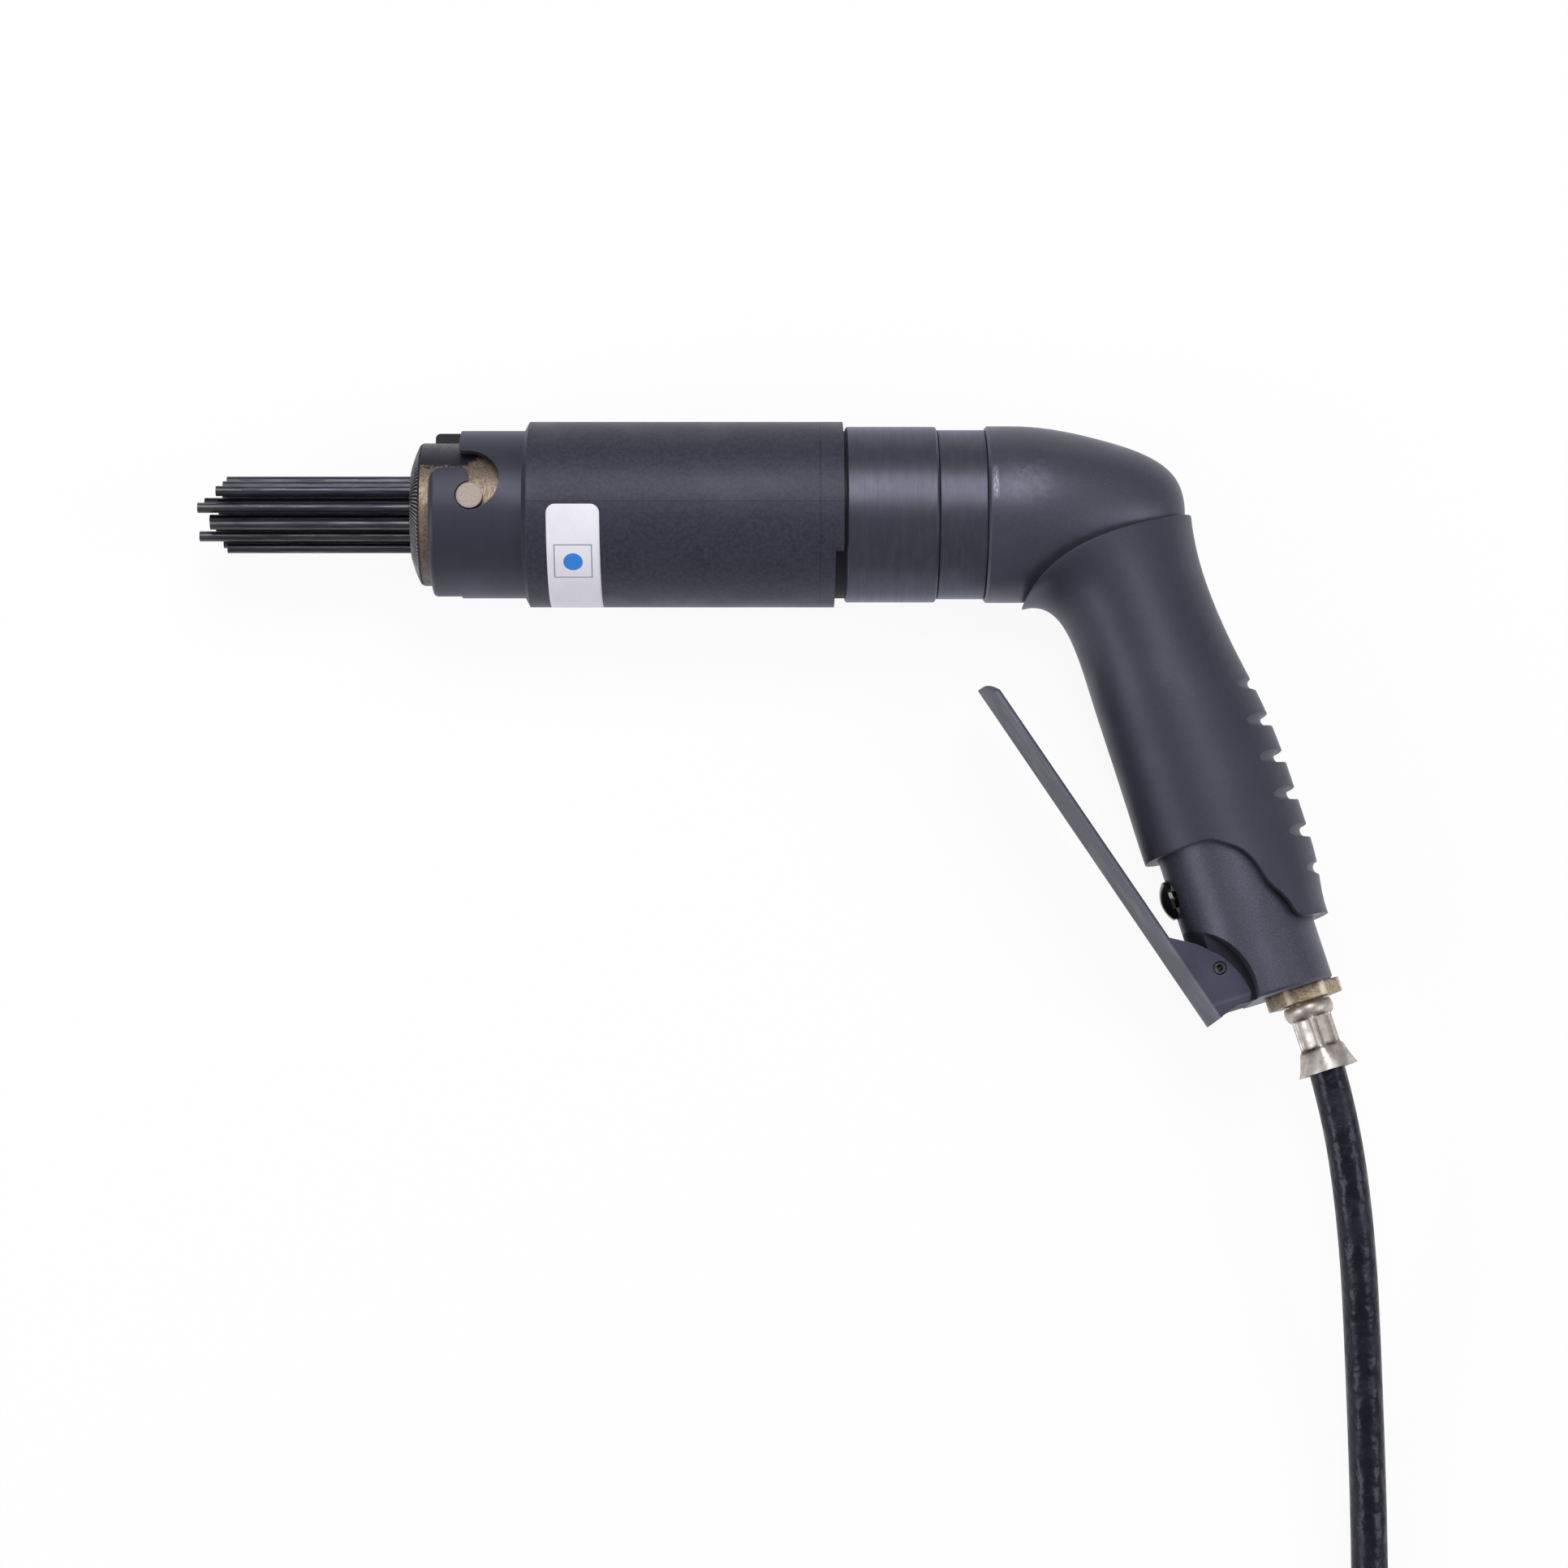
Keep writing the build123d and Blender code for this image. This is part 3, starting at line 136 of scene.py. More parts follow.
hose_points = np.concatenate([lead_points, coil_points(), drop_points])
hose_line = bpy.data.curves.new("air_hose", "CURVE")
hose_line.dimensions = "3D"
hose_line.bevel_depth = 1.0
hose_line.bevel_resolution = 7
hose_line.use_fill_caps = True
spline = hose_line.splines.new("NURBS")
spline.points.add(len(hose_points) - 1)
spline.points.foreach_set("co", np.c_[hose_points, np.ones(len(hose_points))].ravel())
spline.points.foreach_set("radius", np.full(len(hose_points), HOSE_RADIUS))
spline.order_u = 3
spline.use_endpoint_u = True
spline.resolution_u = 8
hose = show("air_hose", hose_line)
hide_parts("hose_lead", "hose_coil")
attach(hose, "tool_body")
print("hose points", len(hose_points), "length", round(spline.calc_length(), 3))

# %% [markdown]
# Every finish below is a small net of nodes. A few helpers keep the nets short: they add a node,
# do sums on numbers, blend two colours and make cloudy noise.

# %% Node helpers
view = bpy.context.scene.view_settings
view.view_transform = "Standard"


def start_net(tree):
    """Empty a node tree, and let the helpers add their nodes to it from now on."""
    global net
    net = tree
    net.nodes.clear()


def put(kind, inputs=None, **settings):
    """Add a shader node. Settings are its properties; inputs maps sockets to values or sockets."""
    made = net.nodes.new("ShaderNode" + kind)
    for name, value in settings.items():
        setattr(made, name, value)
    for key, value in (inputs or {}).items():
        if isinstance(value, bpy.types.NodeSocket):
            net.links.new(value, made.inputs[key])
        else:
            made.inputs[key].default_value = value
    return made


def calc(operation, first, second=0.0):
    """One sum on one or two numbers."""
    return put("Math", {0: first, 1: second}, operation=operation).outputs[0]


def minus(first, second):
    """The difference of two numbers."""
    return calc("SUBTRACT", first, second)


def times(*values):
    """The product of several numbers."""
    product = values[0]
    for value in values[1:]:
        product = calc("MULTIPLY", product, value)
    return product


def vector(operation, first, second):
    """One sum on two vectors, such as a product or a difference."""
    return put("VectorMath", {0: first, 1: second}, operation=operation).outputs[0]


def point(x, y, z=0.0):
    """A vector from its three numbers."""
    return put("CombineXYZ", {"X": x, "Y": y, "Z": z}).outputs[0]


def distance(x, y):
    """How far the point (x, y) is from the origin."""
    return put("VectorMath", {0: point(x, y)}, operation="LENGTH").outputs["Value"]


def span(value, low, high, to_low=0.0, to_high=1.0):
    """Carry a value from one range to another along an S curve, and hold it at the ends."""
    inputs = {"Value": value, "From Min": low, "From Max": high, "To Min": to_low, "To Max": to_high}
    return put("MapRange", inputs, interpolation_type="SMOOTHSTEP").outputs[0]


def band(value, low, high, soft):
    """1 between two values, fading to 0 over a soft margin outside them."""
    return times(span(value, low - soft, low), span(value, high + soft, high))


def tint(mask, first, second, share=None):
    """Blend from the first colour to the second where the mask is 1, or a share of the way there."""
    mask = mask if share is None else times(mask, share)
    first, second = ((*c, 1.0) if isinstance(c, tuple) else c for c in (first, second))
    return put("Mix", {0: mask, 6: first, 7: second}, data_type="RGBA").outputs[2]


def noise(spot, scale, detail=2.0):
    """Cloudy noise from 0 to 1, with so many clouds to the unit of its place."""
    return put("TexNoise", {"Vector": spot, "Scale": scale, "Detail": detail}).outputs[0]


print("helpers ready, view transform", view.view_transform)

# %% [markdown]
# The tool is shown on a plain white bench under one broad soft lamp, with two weaker ones beside it.
# Their strength lets a colour come out about as bright as it is written.
# Light Path tells which rays ask: the camera and shiny surfaces see a white bench, as they would
# in a white tent, while the light that the bench throws back stays plain and keeps a faint shadow.

# %% Bench, surround and lamps
BENCH_SIDE = 30.0
SKY_LIGHT = 0.3
CAMERA_SHARE = 0.92
bench_mesh = bpy.data.meshes.new("bench")
reach = BENCH_SIDE / 2
bench_corners = [(-reach, -reach, 0), (reach, -reach, 0), (reach, reach, 0), (-reach, reach, 0)]
bench_mesh.from_pydata(bench_corners, [], [(0, 1, 2, 3)])
bench = show("bench", bench_mesh)

bench_white = bpy.data.materials.new("bench_white")
bench_white.use_nodes = True
start_net(bench_white.node_tree)
path = put("LightPath").outputs
paint = put("BsdfDiffuse", {"Color": (0.86, 0.86, 0.87, 1)})
glow = put("Emission", {"Color": (1, 1, 1, 1), "Strength": 1.0})
by_eye = times(path["Is Camera Ray"], CAMERA_SHARE)
through = calc("MAXIMUM", path["Is Glossy Ray"], path["Is Transmission Ray"])
bench_mix = put("MixShader", {
    0: calc("MAXIMUM", by_eye, through), 1: paint.outputs[0], 2: glow.outputs[0],
})
put("OutputMaterial", {"Surface": bench_mix.outputs[0]})
bench_mesh.materials.append(bench_white)

world = bpy.data.worlds.new("white_surround")
bpy.context.scene.world = world
world.use_nodes = True
start_net(world.node_tree)
path = put("LightPath").outputs
seen = calc("MAXIMUM", path["Is Camera Ray"], path["Is Transmission Ray"])
strength = put("MapRange", {"Value": seen, "To Min": SKY_LIGHT, "To Max": 1.0}).outputs[0]
sky = put("Background", {"Color": (1, 1, 1, 1), "Strength": strength})
put("OutputWorld", {"Surface": sky.outputs[0]})


def soft_lamp(name, place, aim, side, power):
    """A square lamp at a place, turned so that its face looks at its aim."""
    data = bpy.data.lights.new(name, "AREA")
    data.size = side
    data.energy = power
    lamp = show(name, data)
    lamp.location = place
    way = np.array(aim) - np.array(place)
    tip = math.atan2(math.hypot(way[0], way[1]), -way[2])
    lamp.rotation_euler = (tip, 0, math.atan2(-way[0], way[1]))


soft_lamp("key_lamp", (0.05, 0.55, 1.2), (0.0, 0.02, 0.0), 0.8, 11.0)
soft_lamp("left_lamp", (-1.05, -0.4, 0.7), (0.0, 0.0, 0.0), 0.6, 6.0)
soft_lamp("right_lamp", (1.1, -0.2, 0.8), (0.0, 0.0, 0.0), 0.6, 4.6)

# %% [markdown]
# Shared effects are node groups, built once. The first tells a surface where it is on the barrel:
# how far along, how far out, and how many degrees round from the top. Lathe lines, wear and stains
# follow these, as they do on a turned part. The second does it for the grip. Lengths are in mm.

# %% Places on the tool
BARREL = np.array((0.0239125, 0.0610375, 0.02715))
GRIP = np.array((0.1029125, 0.0610375, 0.02715))
DOWN = np.array((0.292372, -0.956305, 0.0))
BACK = np.array((0.956305, 0.292372, 0.0))
UP = np.array((0.0, 0.0, 1.0))
MM = 0.001
ARC_PER_DEGREE = 0.44
NUMBER, VECTOR = "NodeSocketFloat", "NodeSocketVector"


def start_group(name, inputs, outputs):
    """An empty node group with number or vector sockets, and its two end nodes."""
    group = bpy.data.node_groups.new(name, "ShaderNodeTree")
    start_net(group)
    for label, kind, value in inputs:
        group.interface.new_socket(label, in_out="INPUT", socket_type=kind).default_value = value
    for label, kind in outputs:
        group.interface.new_socket(label, in_out="OUTPUT", socket_type=kind)
    return group, group.nodes.new("NodeGroupInput").outputs, group.nodes.new("NodeGroupOutput").inputs


def in_mm(origin=(0.0, 0.0, 0.0)):
    """Object coordinates from an origin, in millimetres."""
    spot = put("TexCoord").outputs["Object"]
    moved = vector("SUBTRACT", spot, tuple(origin))
    return put("VectorMath", {0: moved, "Scale": 1 / MM}, operation="SCALE").outputs[0]


barrel_place, given, out = start_group(
    "Barrel place", [], [("Along", NUMBER), ("Out", NUMBER), ("Turn", NUMBER), ("Unrolled", VECTOR)]
)
spot = put("SeparateXYZ", {0: in_mm(BARREL)}).outputs
outward = distance(spot["Y"], spot["Z"])
turn = calc("DEGREES", calc("ARCTAN2", spot["Y"], spot["Z"]))
arc = times(turn, ARC_PER_DEGREE)
unrolled = point(spot["X"], arc, outward)
for label, socket in (("Along", spot["X"]), ("Out", outward), ("Turn", turn), ("Unrolled", unrolled)):
    barrel_place.links.new(socket, out[label])

grip_place, given, out = start_group(
    "Grip place", [], [("Down", NUMBER), ("Back", NUMBER), ("Side", NUMBER)]
)
spot = in_mm(GRIP)
for label, way in (("Down", DOWN), ("Back", BACK), ("Side", UP)):
    along = put("VectorMath", {0: spot, 1: tuple(way)}, operation="DOT_PRODUCT")
    grip_place.links.new(along.outputs["Value"], out[label])
print("groups", [g.name for g in bpy.data.node_groups])

# %% [markdown]
# Five more effects come back on many pieces. Grain is the fine tooth of a moulded or blasted skin.
# Smudges are the broad cloudy stains of oil and hands. Scratches are short thin lines, found where
# a stretched noise crosses its middle value. Worn edges use the Bevel node, which feels for corners:
# where its rounded normal leaves the true one, paint and oxide have rubbed off. Lathe lines are
# noise stretched right round the barrel, fine and coarse together.

# %% Grain, smudges, scratches, worn edges and lathe lines
grain, given, out = start_group("Grain", [("Per mm", NUMBER, 3.0)], [("Height", NUMBER)])
grain.links.new(noise(in_mm(), given["Per mm"]), out["Height"])

smudges, given, out = start_group(
    "Smudges", [("Per mm", NUMBER, 0.08), ("Low", NUMBER, 0.4), ("High", NUMBER, 0.72)], [("Mask", NUMBER)]
)
cloud = noise(in_mm(), given["Per mm"], 5.0)
smudges.links.new(span(cloud, given["Low"], given["High"]), out["Mask"])

scratches, given, out = start_group(
    "Scratches", [("Place", VECTOR, (0, 0, 0)), ("Width", NUMBER, 0.012)], [("Mask", NUMBER)]
)
cloud = noise(given["Place"], 1.0, 1.0)
off_middle = calc("ABSOLUTE", minus(cloud, 0.5))
line = span(off_middle, 0.0, given["Width"], 1.0, 0.0)
patch = span(noise(given["Place"], 0.31), 0.52, 0.62)
scratches.links.new(times(line, patch), out["Mask"])

worn_edge, given, out = start_group(
    "Worn edge", [("Radius", NUMBER, 0.0004), ("Patches", NUMBER, 0.5)],
    [("Edge", NUMBER), ("Normal", VECTOR)],
)
rounded = put("Bevel", {"Radius": given["Radius"]}, samples=6).outputs[0]
true_way = put("NewGeometry").outputs["Normal"]
agree = put("VectorMath", {0: rounded, 1: true_way}, operation="DOT_PRODUCT")
corner = span(agree.outputs["Value"], 0.99, 0.86)
cloud = noise(in_mm(), given["Patches"], 4.0)
worn_edge.links.new(times(corner, span(cloud, 0.38, 0.62)), out["Edge"])
worn_edge.links.new(rounded, out["Normal"])

lathe_lines, given, out = start_group(
    "Lathe lines", [("Along", NUMBER, 0.0), ("Turn", NUMBER, 0.0)], [("Lines", NUMBER)]
)
drift = times(given["Turn"], 0.006)
thread = point(given["Along"], drift)
fine_part = times(noise(thread, 5.0), 0.6)
wide_part = times(noise(thread, 1.1), 0.4)
lathe_lines.links.new(calc("ADD", fine_part, wide_part), out["Lines"])
print("groups", len(bpy.data.node_groups))

# %% [markdown]
# A finish is one material with one Principled shader. Numbers that are the same all over go straight
# on the shader; what changes over the surface comes from the nets. Dark paint and plastic here have
# a cool cast, and a bluish specular tint gives it to their shine too. Dust and a thin film of oil
# brighten what is seen edge on, which is what sheen and a weak coat are for.

# %% Finish helpers
COOL = (0.74, 0.76, 1.0, 1.0)
DUSTY = {
    "Specular_Tint": COOL, "Sheen_Weight": 0.12, "Sheen_Roughness": 0.3, "Sheen_Tint": COOL,
    "Coat_Weight": 0.18, "Coat_Roughness": 0.36, "Coat_Tint": COOL,
}


def use(group, inputs=None):
    """Place a node group with its own values, and give its outputs."""
    return put("Group", inputs, node_tree=group).outputs


def grain_height(per_mm):
    """Height of the grain, with so many grains to the millimetre."""
    return use(grain, {"Per mm": per_mm})["Height"]


def stains(per_mm, low=0.4, high=0.72):
    """Mask of the smudges, which starts at one level of their clouds and is full at another."""
    return use(smudges, {"Per mm": per_mm, "Low": low, "High": high})["Mask"]


def rubbed(radius, patches):
    """Mask of the worn edges, and the normal that rounds them."""
    return use(worn_edge, {"Radius": radius, "Patches": patches})


def turned_lines(spot):
    """Lathe lines at a place on the barrel."""
    return use(lathe_lines, {"Along": spot["Along"], "Turn": spot["Turn"]})["Lines"]


def ramp(mask, at_none, at_full):
    """A number that goes from one value to another as a mask goes from 0 to 1."""
    return span(mask, 0.0, 1.0, at_none, at_full)


def start_finish(name, **constants):
    """A material with one Principled shader. Constants are set straight on its sockets."""
    material = bpy.data.materials.new(name)
    material.use_nodes = True
    start_net(material.node_tree)
    shader = put("BsdfPrincipled", name="shader")
    for label, value in constants.items():
        shader.inputs[label.replace("_", " ")].default_value = value
    put("OutputMaterial", {"Surface": shader.outputs[0]})
    return material


def join(colour, roughness, normal=None):
    """Link a finish's colour, roughness and normal to its shader."""
    shader = net.nodes["shader"].inputs
    net.links.new(colour, shader["Base Color"])
    net.links.new(roughness, shader["Roughness"])
    if normal is not None:
        net.links.new(normal, shader["Normal"])


def bump(height, depth, strength=1.0, normal=None):
    """A normal from a height in parts of a depth in metres."""
    inputs = {"Height": height, "Distance": depth, "Strength": strength}
    if normal is not None:
        inputs["Normal"] = normal
    return put("Bump", inputs).outputs[0]


def cloudy_finish(name, metallic, per_mm, colours, roughness):
    """A plain material that goes in clouds from one colour and roughness to another."""
    material = start_finish(name, Metallic=metallic)
    cloud = stains(per_mm, 0.36, 0.7)
    join(tint(cloud, *colours), ramp(cloud, *roughness))
    return material


def dress(material, *names):
    """Give a finish to CAD nodes."""
    for name in names:
        for slot in nodes[name].material_slots:
            slot.material = material
    print(material.name, "on", ", ".join(names))


# %% [markdown]
# The sleeve is a moulded tube of matt dark plastic that keeps the hot barrel off the hand.
# Its skin is spark-eroded, with a fine tooth, a faint mottle and hardly any gloss. A hairline ring
# near its rear end is a joint of the mould. The colour is a cool charcoal, paler where it is rubbed.

# %% Sleeve plastic
MOULD_JOINT = -6.8
sleeve_plastic = start_finish("sleeve_plastic", Specular_IOR_Level=0.36, **DUSTY)
spot = use(barrel_place)
fine = grain_height(2.6)
mottle = span(grain_height(0.9), 0.3, 0.7)
cloud = stains(0.07)
edge = rubbed(0.0005, 0.4)
charcoal = tint(mottle, (0.019, 0.019, 0.028), (0.032, 0.032, 0.043))
charcoal = tint(cloud, charcoal, (0.036, 0.036, 0.048), 0.35)
charcoal = tint(edge["Edge"], charcoal, (0.08, 0.08, 0.095), 0.3)
from_joint = calc("ABSOLUTE", minus(spot["Along"], MOULD_JOINT))
hairline = span(from_joint, 0.3, 0.1)
charcoal = tint(hairline, charcoal, (0.009, 0.009, 0.013), 0.6)
height = minus(times(fine, 0.5), hairline)
matt = ramp(cloud, 0.58, 0.5)
join(charcoal, matt, bump(height, 0.00006, 0.8, edge["Normal"]))
dress(sleeve_plastic, "sleeve")

# %% [markdown]
# The nose tube is turned steel, blacked in a hot salt bath. The black is thin, so it shines like
# dull metal, and it has rubbed through to bare steel on the edges of the catch. The tip of the far
# catch finger and the floor under the notch in the sleeve are painted near black, as painted shade.

# %% Black oxide on the nose tube
black_oxide = start_finish("black_oxide", Metallic=0.3, Specular_IOR_Level=0.38, **DUSTY)
spot = use(barrel_place)
lines = turned_lines(spot)
cloud = stains(0.06)
edge = rubbed(0.0003, 0.35)
black = tint(lines, (0.03, 0.03, 0.041), (0.04, 0.04, 0.053))
black = tint(cloud, black, (0.052, 0.052, 0.067), 0.4)
black = tint(edge["Edge"], black, (0.24, 0.21, 0.18), 0.45)
# painted shade: the tip of the far catch finger and the tube under the sleeve's notch, darkened as if in
# shadow
finger = times(band(spot["Turn"], 50.0, 130.0, 4.0), span(spot["Along"], -111.6, -112.2))
under_notch = span(spot["Along"], -3.0, -2.6)
painted_shade = calc("MAXIMUM", finger, under_notch)
black = tint(painted_shade, black, (0.004, 0.004, 0.006), 0.85)
dull = calc("MAXIMUM", ramp(cloud, 0.5, 0.42), times(painted_shade, 0.8))
join(black, dull, bump(lines, 0.00002, 0.5, edge["Normal"]))
dress(black_oxide, "nose_tube")

# %% [markdown]
# The two rings behind the sleeve are turned metal. The tool has left fine lines all the way round,
# and handling has left pale smears where the hand rests. Lines and smears are both needed: the lines
# alone look new, and the smears alone look like paint.

# %% Turned metal rings
turned_metal = start_finish("turned_metal", Metallic=0.5, **DUSTY)
spot = use(barrel_place)
lines = turned_lines(spot)
along_ring = vector("MULTIPLY", spot["Unrolled"], (0.55, 0.16, 0.1))
smear = span(noise(along_ring, 1.0, 5.0), 0.4, 0.7)
edge = rubbed(0.0004, 0.15)
grey = tint(lines, (0.036, 0.036, 0.048), (0.068, 0.067, 0.086))
grey = tint(smear, grey, (0.105, 0.104, 0.122), 0.2)
grey = tint(edge["Edge"], grey, (0.22, 0.22, 0.26), 0.8)
satin = span(lines, 0.2, 0.8, 0.45, 0.34)
join(grey, satin, bump(lines, 0.00003, 0.7, edge["Normal"]))
dress(turned_metal, "barrel_ring", "lock_ring")

# %% [markdown]
# The handle is one casting, painted satin black: the elbow, and a stem that the grip slides on.
# Behind its front lip a short upright streak is scuffed to bright metal, soft at both ends.
# A pale smear spreads back from it, mottled, with the rings of a few dried drops. Fine dust speckles
# the stem. The two round recesses that the lever's ears move in are painted near black, as painted shade.

# %% Painted casting
RECESS_DOWN, RECESS_BACK, RECESS_RADIUS = 143.5, -26.5, 21.2
painted_cast = start_finish("painted_cast", Specular_IOR_Level=0.58, **DUSTY)
spot = use(barrel_place)
stem = use(grip_place)
fine = grain_height(1.3)
cloud = stains(0.05)
edge = rubbed(0.0003, 0.4)
paint = tint(fine, (0.026, 0.026, 0.036), (0.039, 0.039, 0.052))
paint = tint(cloud, paint, (0.054, 0.053, 0.07), 0.4)
dust = span(grain_height(1.9), 0.46, 0.72)
dust = times(dust, span(stem["Down"], 60.0, 90.0, 0.1, 0.26))
paint = tint(dust, paint, (0.12, 0.12, 0.145))

ragged = minus(noise(spot["Unrolled"], 0.5, 4.0), 0.5)
rough_along = calc("ADD", spot["Along"], times(ragged, 6.0))
rough_turn = calc("ADD", spot["Turn"], times(ragged, 34.0))
mottle = noise(spot["Unrolled"], 0.4, 4.0)
smear = times(band(rough_along, 51.0, 55.0, 9.0), band(rough_turn, 7.0, 12.0, 14.0))
smear = times(smear, span(mottle, 0.3, 0.66, 0.45, 1.0))
paint = tint(smear, paint, (0.125, 0.122, 0.142), 0.42)
bent = vector("ADD", spot["Unrolled"], ragged)
cells = put("TexVoronoi", {"Vector": bent, "Scale": 0.34}).outputs["Distance"]
drops = times(band(spot["Along"], 52.0, 57.0, 5.0), band(spot["Turn"], 6.0, 13.0, 9.0))
paint = tint(times(drops, span(cells, 0.36, 0.24), 0.3), paint, (0.036, 0.036, 0.047))
paint = tint(times(drops, band(cells, 0.36, 0.39, 0.1), 0.2), paint, (0.15, 0.147, 0.165))

scuff = times(span(spot["Turn"], -5.0, 4.0), span(spot["Turn"], 23.0, 6.0))
upright = vector("MULTIPLY", spot["Unrolled"], (2.6, 0.7, 0.0))
worn = span(noise(upright, 1.0, 4.0), 0.36, 0.62, 0.1, 0.75)
streak = times(scuff, band(spot["Along"], 43.2, 43.8, 0.8), worn)
paint = tint(streak, paint, (0.46, 0.46, 0.52))
paint = tint(edge["Edge"], paint, (0.16, 0.16, 0.19), 0.7)
# painted shade: the round recesses of the lever's ears are darkened as if in deep shadow
to_recess = distance(minus(stem["Down"], RECESS_DOWN), minus(stem["Back"], RECESS_BACK))
painted_recess_shade = span(to_recess, RECESS_RADIUS + 0.2, RECESS_RADIUS - 0.3)
paint = tint(painted_recess_shade, paint, (0.003, 0.003, 0.004), 0.9)
satin = calc("MAXIMUM", ramp(cloud, 0.48, 0.41), times(painted_recess_shade, 0.9))
join(paint, satin, bump(fine, 0.00005, 0.5, edge["Normal"]))
dress(painted_cast, "handle_housing")

# %% [markdown]
# The grip cover is a soft rubber moulding with ribs for the fingers at the back. Rubber is darker
# and flatter than paint. Dust settles into its fine texture and makes it a shade paler in patches.

# %% Grip rubber
grip_rubber = start_finish("grip_rubber", Specular_IOR_Level=0.45, **DUSTY)
fine = grain_height(2.0)
coarse = grain_height(0.6)
cloud = stains(0.045)
edge = rubbed(0.0007, 0.3)
rubber = tint(fine, (0.021, 0.021, 0.029), (0.032, 0.032, 0.043))
rubber = tint(cloud, rubber, (0.043, 0.043, 0.056), 0.4)
rubber = tint(edge["Edge"], rubber, (0.06, 0.06, 0.073), 0.2)
height = calc("ADD", times(fine, 0.7), times(coarse, 0.6))
matt = ramp(cloud, 0.53, 0.45)
join(rubber, matt, bump(height, 0.0001, 0.6, edge["Normal"]))
dress(grip_rubber, "grip_cover")

# %% [markdown]
# The lever is folded sheet steel with a tough dark paint. Hands touch it most,
# so its corners are rubbed and its face has fine scratches along its length. The two long folds carry
# a painted highlight: paler paint along their round. A mask finds them: how far a point is from the
# middle of the fold's round.

# %% Lever paint
LEVER_OUT = (0.28206, -0.9594)
FOLD_OUT, FOLD_SIDE = 59.843, 12.707
lever_paint = start_finish("lever_paint", Specular_IOR_Level=0.35, Specular_Tint=COOL)
spot = use(grip_place)
fine = grain_height(1.6)
cloud = stains(0.06)
edge = rubbed(0.0006, 0.5)
length_way = point(times(spot["Down"], 0.12), times(spot["Side"], 1.6))
scored = use(scratches, {"Place": length_way, "Width": 0.01})["Mask"]
paint = tint(fine, (0.026, 0.026, 0.045), (0.04, 0.04, 0.066))
paint = tint(cloud, paint, (0.052, 0.052, 0.084), 0.4)
paint = tint(scored, paint, (0.14, 0.14, 0.16), 0.35)
paint = tint(edge["Edge"], paint, (0.2, 0.2, 0.23), 0.35)
outward = calc("ADD", times(spot["Down"], LEVER_OUT[0]), times(spot["Back"], LEVER_OUT[1]))
off_face = minus(outward, FOLD_OUT)
off_side = minus(calc("ABSOLUTE", spot["Side"]), FOLD_SIDE)
# painted highlight: a paler line along the round of each long fold
painted_fold_highlight = span(distance(off_face, off_side), 1.0, 0.2)
paint = tint(times(painted_fold_highlight, ramp(cloud, 0.5, 0.8)), paint, (0.21, 0.21, 0.25))
satin = ramp(cloud, 0.56, 0.48)
join(paint, satin, bump(fine, 0.00004, 0.5, edge["Normal"]))
dress(lever_paint, "lever")

# %% [markdown]
# The front guide is bronze, darkened by heat and oil. Where the catch turns against it, in the
# slots and just in front of the tube, it is rubbed back to a warm brown with fine dark pits.
# The same wear is on both sides, half a turn apart, so the mask repeats every 180 degrees. In the slots
# the bronze reaches further round, but stops short of the upper rim: the dark strip left under the rim
# is partly oxide and partly painted shade.

# %% Worn bronze
DARK_FROM, DARK_TO, SLOT_MORE = 30.0, 98.0, 11.0
guide_bronze = start_finish("guide_bronze", Metallic=0.5)
spot = use(barrel_place)
side_turn = calc("FLOORED_MODULO", spot["Turn"], 180.0)
ragged = times(minus(noise(spot["Unrolled"], 0.9, 4.0), 0.5), 16.0)
# in the slots the dark starts further round; the strip left under the slot's rim is partly painted shade
in_slot = span(spot["Along"], -110.5, -104.5, 0.0, SLOT_MORE)
past_pin = minus(calc("ADD", side_turn, ragged), in_slot)
oxide_and_slot_shade = band(past_pin, DARK_FROM, DARK_TO, 5.0)
faded = band(side_turn, DARK_TO + 8.0, DARK_TO + 24.0, 34.0)
round_way = vector("MULTIPLY", spot["Unrolled"], (0.4, 2.4, 0.4))
along_way = vector("MULTIPLY", spot["Unrolled"], (2.4, 0.5, 0.4))
streak = noise(along_way, 1.0, 3.0)
pit = span(noise(spot["Unrolled"], 1.5, 4.0), 0.54, 0.66)
scored = use(scratches, {"Place": round_way, "Width": 0.03})["Mask"]
brown = tint(span(streak, 0.3, 0.7), (0.17, 0.125, 0.088), (0.25, 0.192, 0.145))
brown = tint(pit, brown, (0.05, 0.036, 0.024), 0.7)
brown = tint(scored, brown, (0.46, 0.39, 0.32), 0.5)
brown = tint(faded, brown, (0.085, 0.078, 0.088), 0.6)
black = tint(scored, (0.022, 0.022, 0.033), (0.09, 0.087, 0.09), 0.4)
worn_skin = span(streak, 0.3, 0.7, 0.46, 0.34)
join(tint(oxide_and_slot_shade, brown, black), worn_skin, bump(streak, 0.00003, 0.5))
dress(guide_bronze, "front_guide")

# %% [markdown]
# The catch pins stand level with the tube, so the bench and the hand polish their ends. They are
# a warm grey with a fine speckle, and darker at the rim.

# %% Catch pins
PIN_ALONG, PIN_RADIUS = -107.6, 3.8
pin_steel = start_finish("pin_steel", Metallic=0.25)
spot = put("SeparateXYZ", {0: in_mm(BARREL)}).outputs
from_pin = distance(minus(spot["X"], PIN_ALONG), spot["Y"])
rim = span(from_pin, PIN_RADIUS - 0.6, PIN_RADIUS)
speck = grain_height(3.4)
pale = tint(span(speck, 0.3, 0.7), (0.25, 0.205, 0.175), (0.37, 0.31, 0.275))
pale = tint(rim, pale, (0.14, 0.115, 0.09), 0.6)
join(pale, span(speck, 0.3, 0.7, 0.58, 0.46), bump(speck, 0.00004, 0.5))
dress(pin_steel, "bayonet_pins")
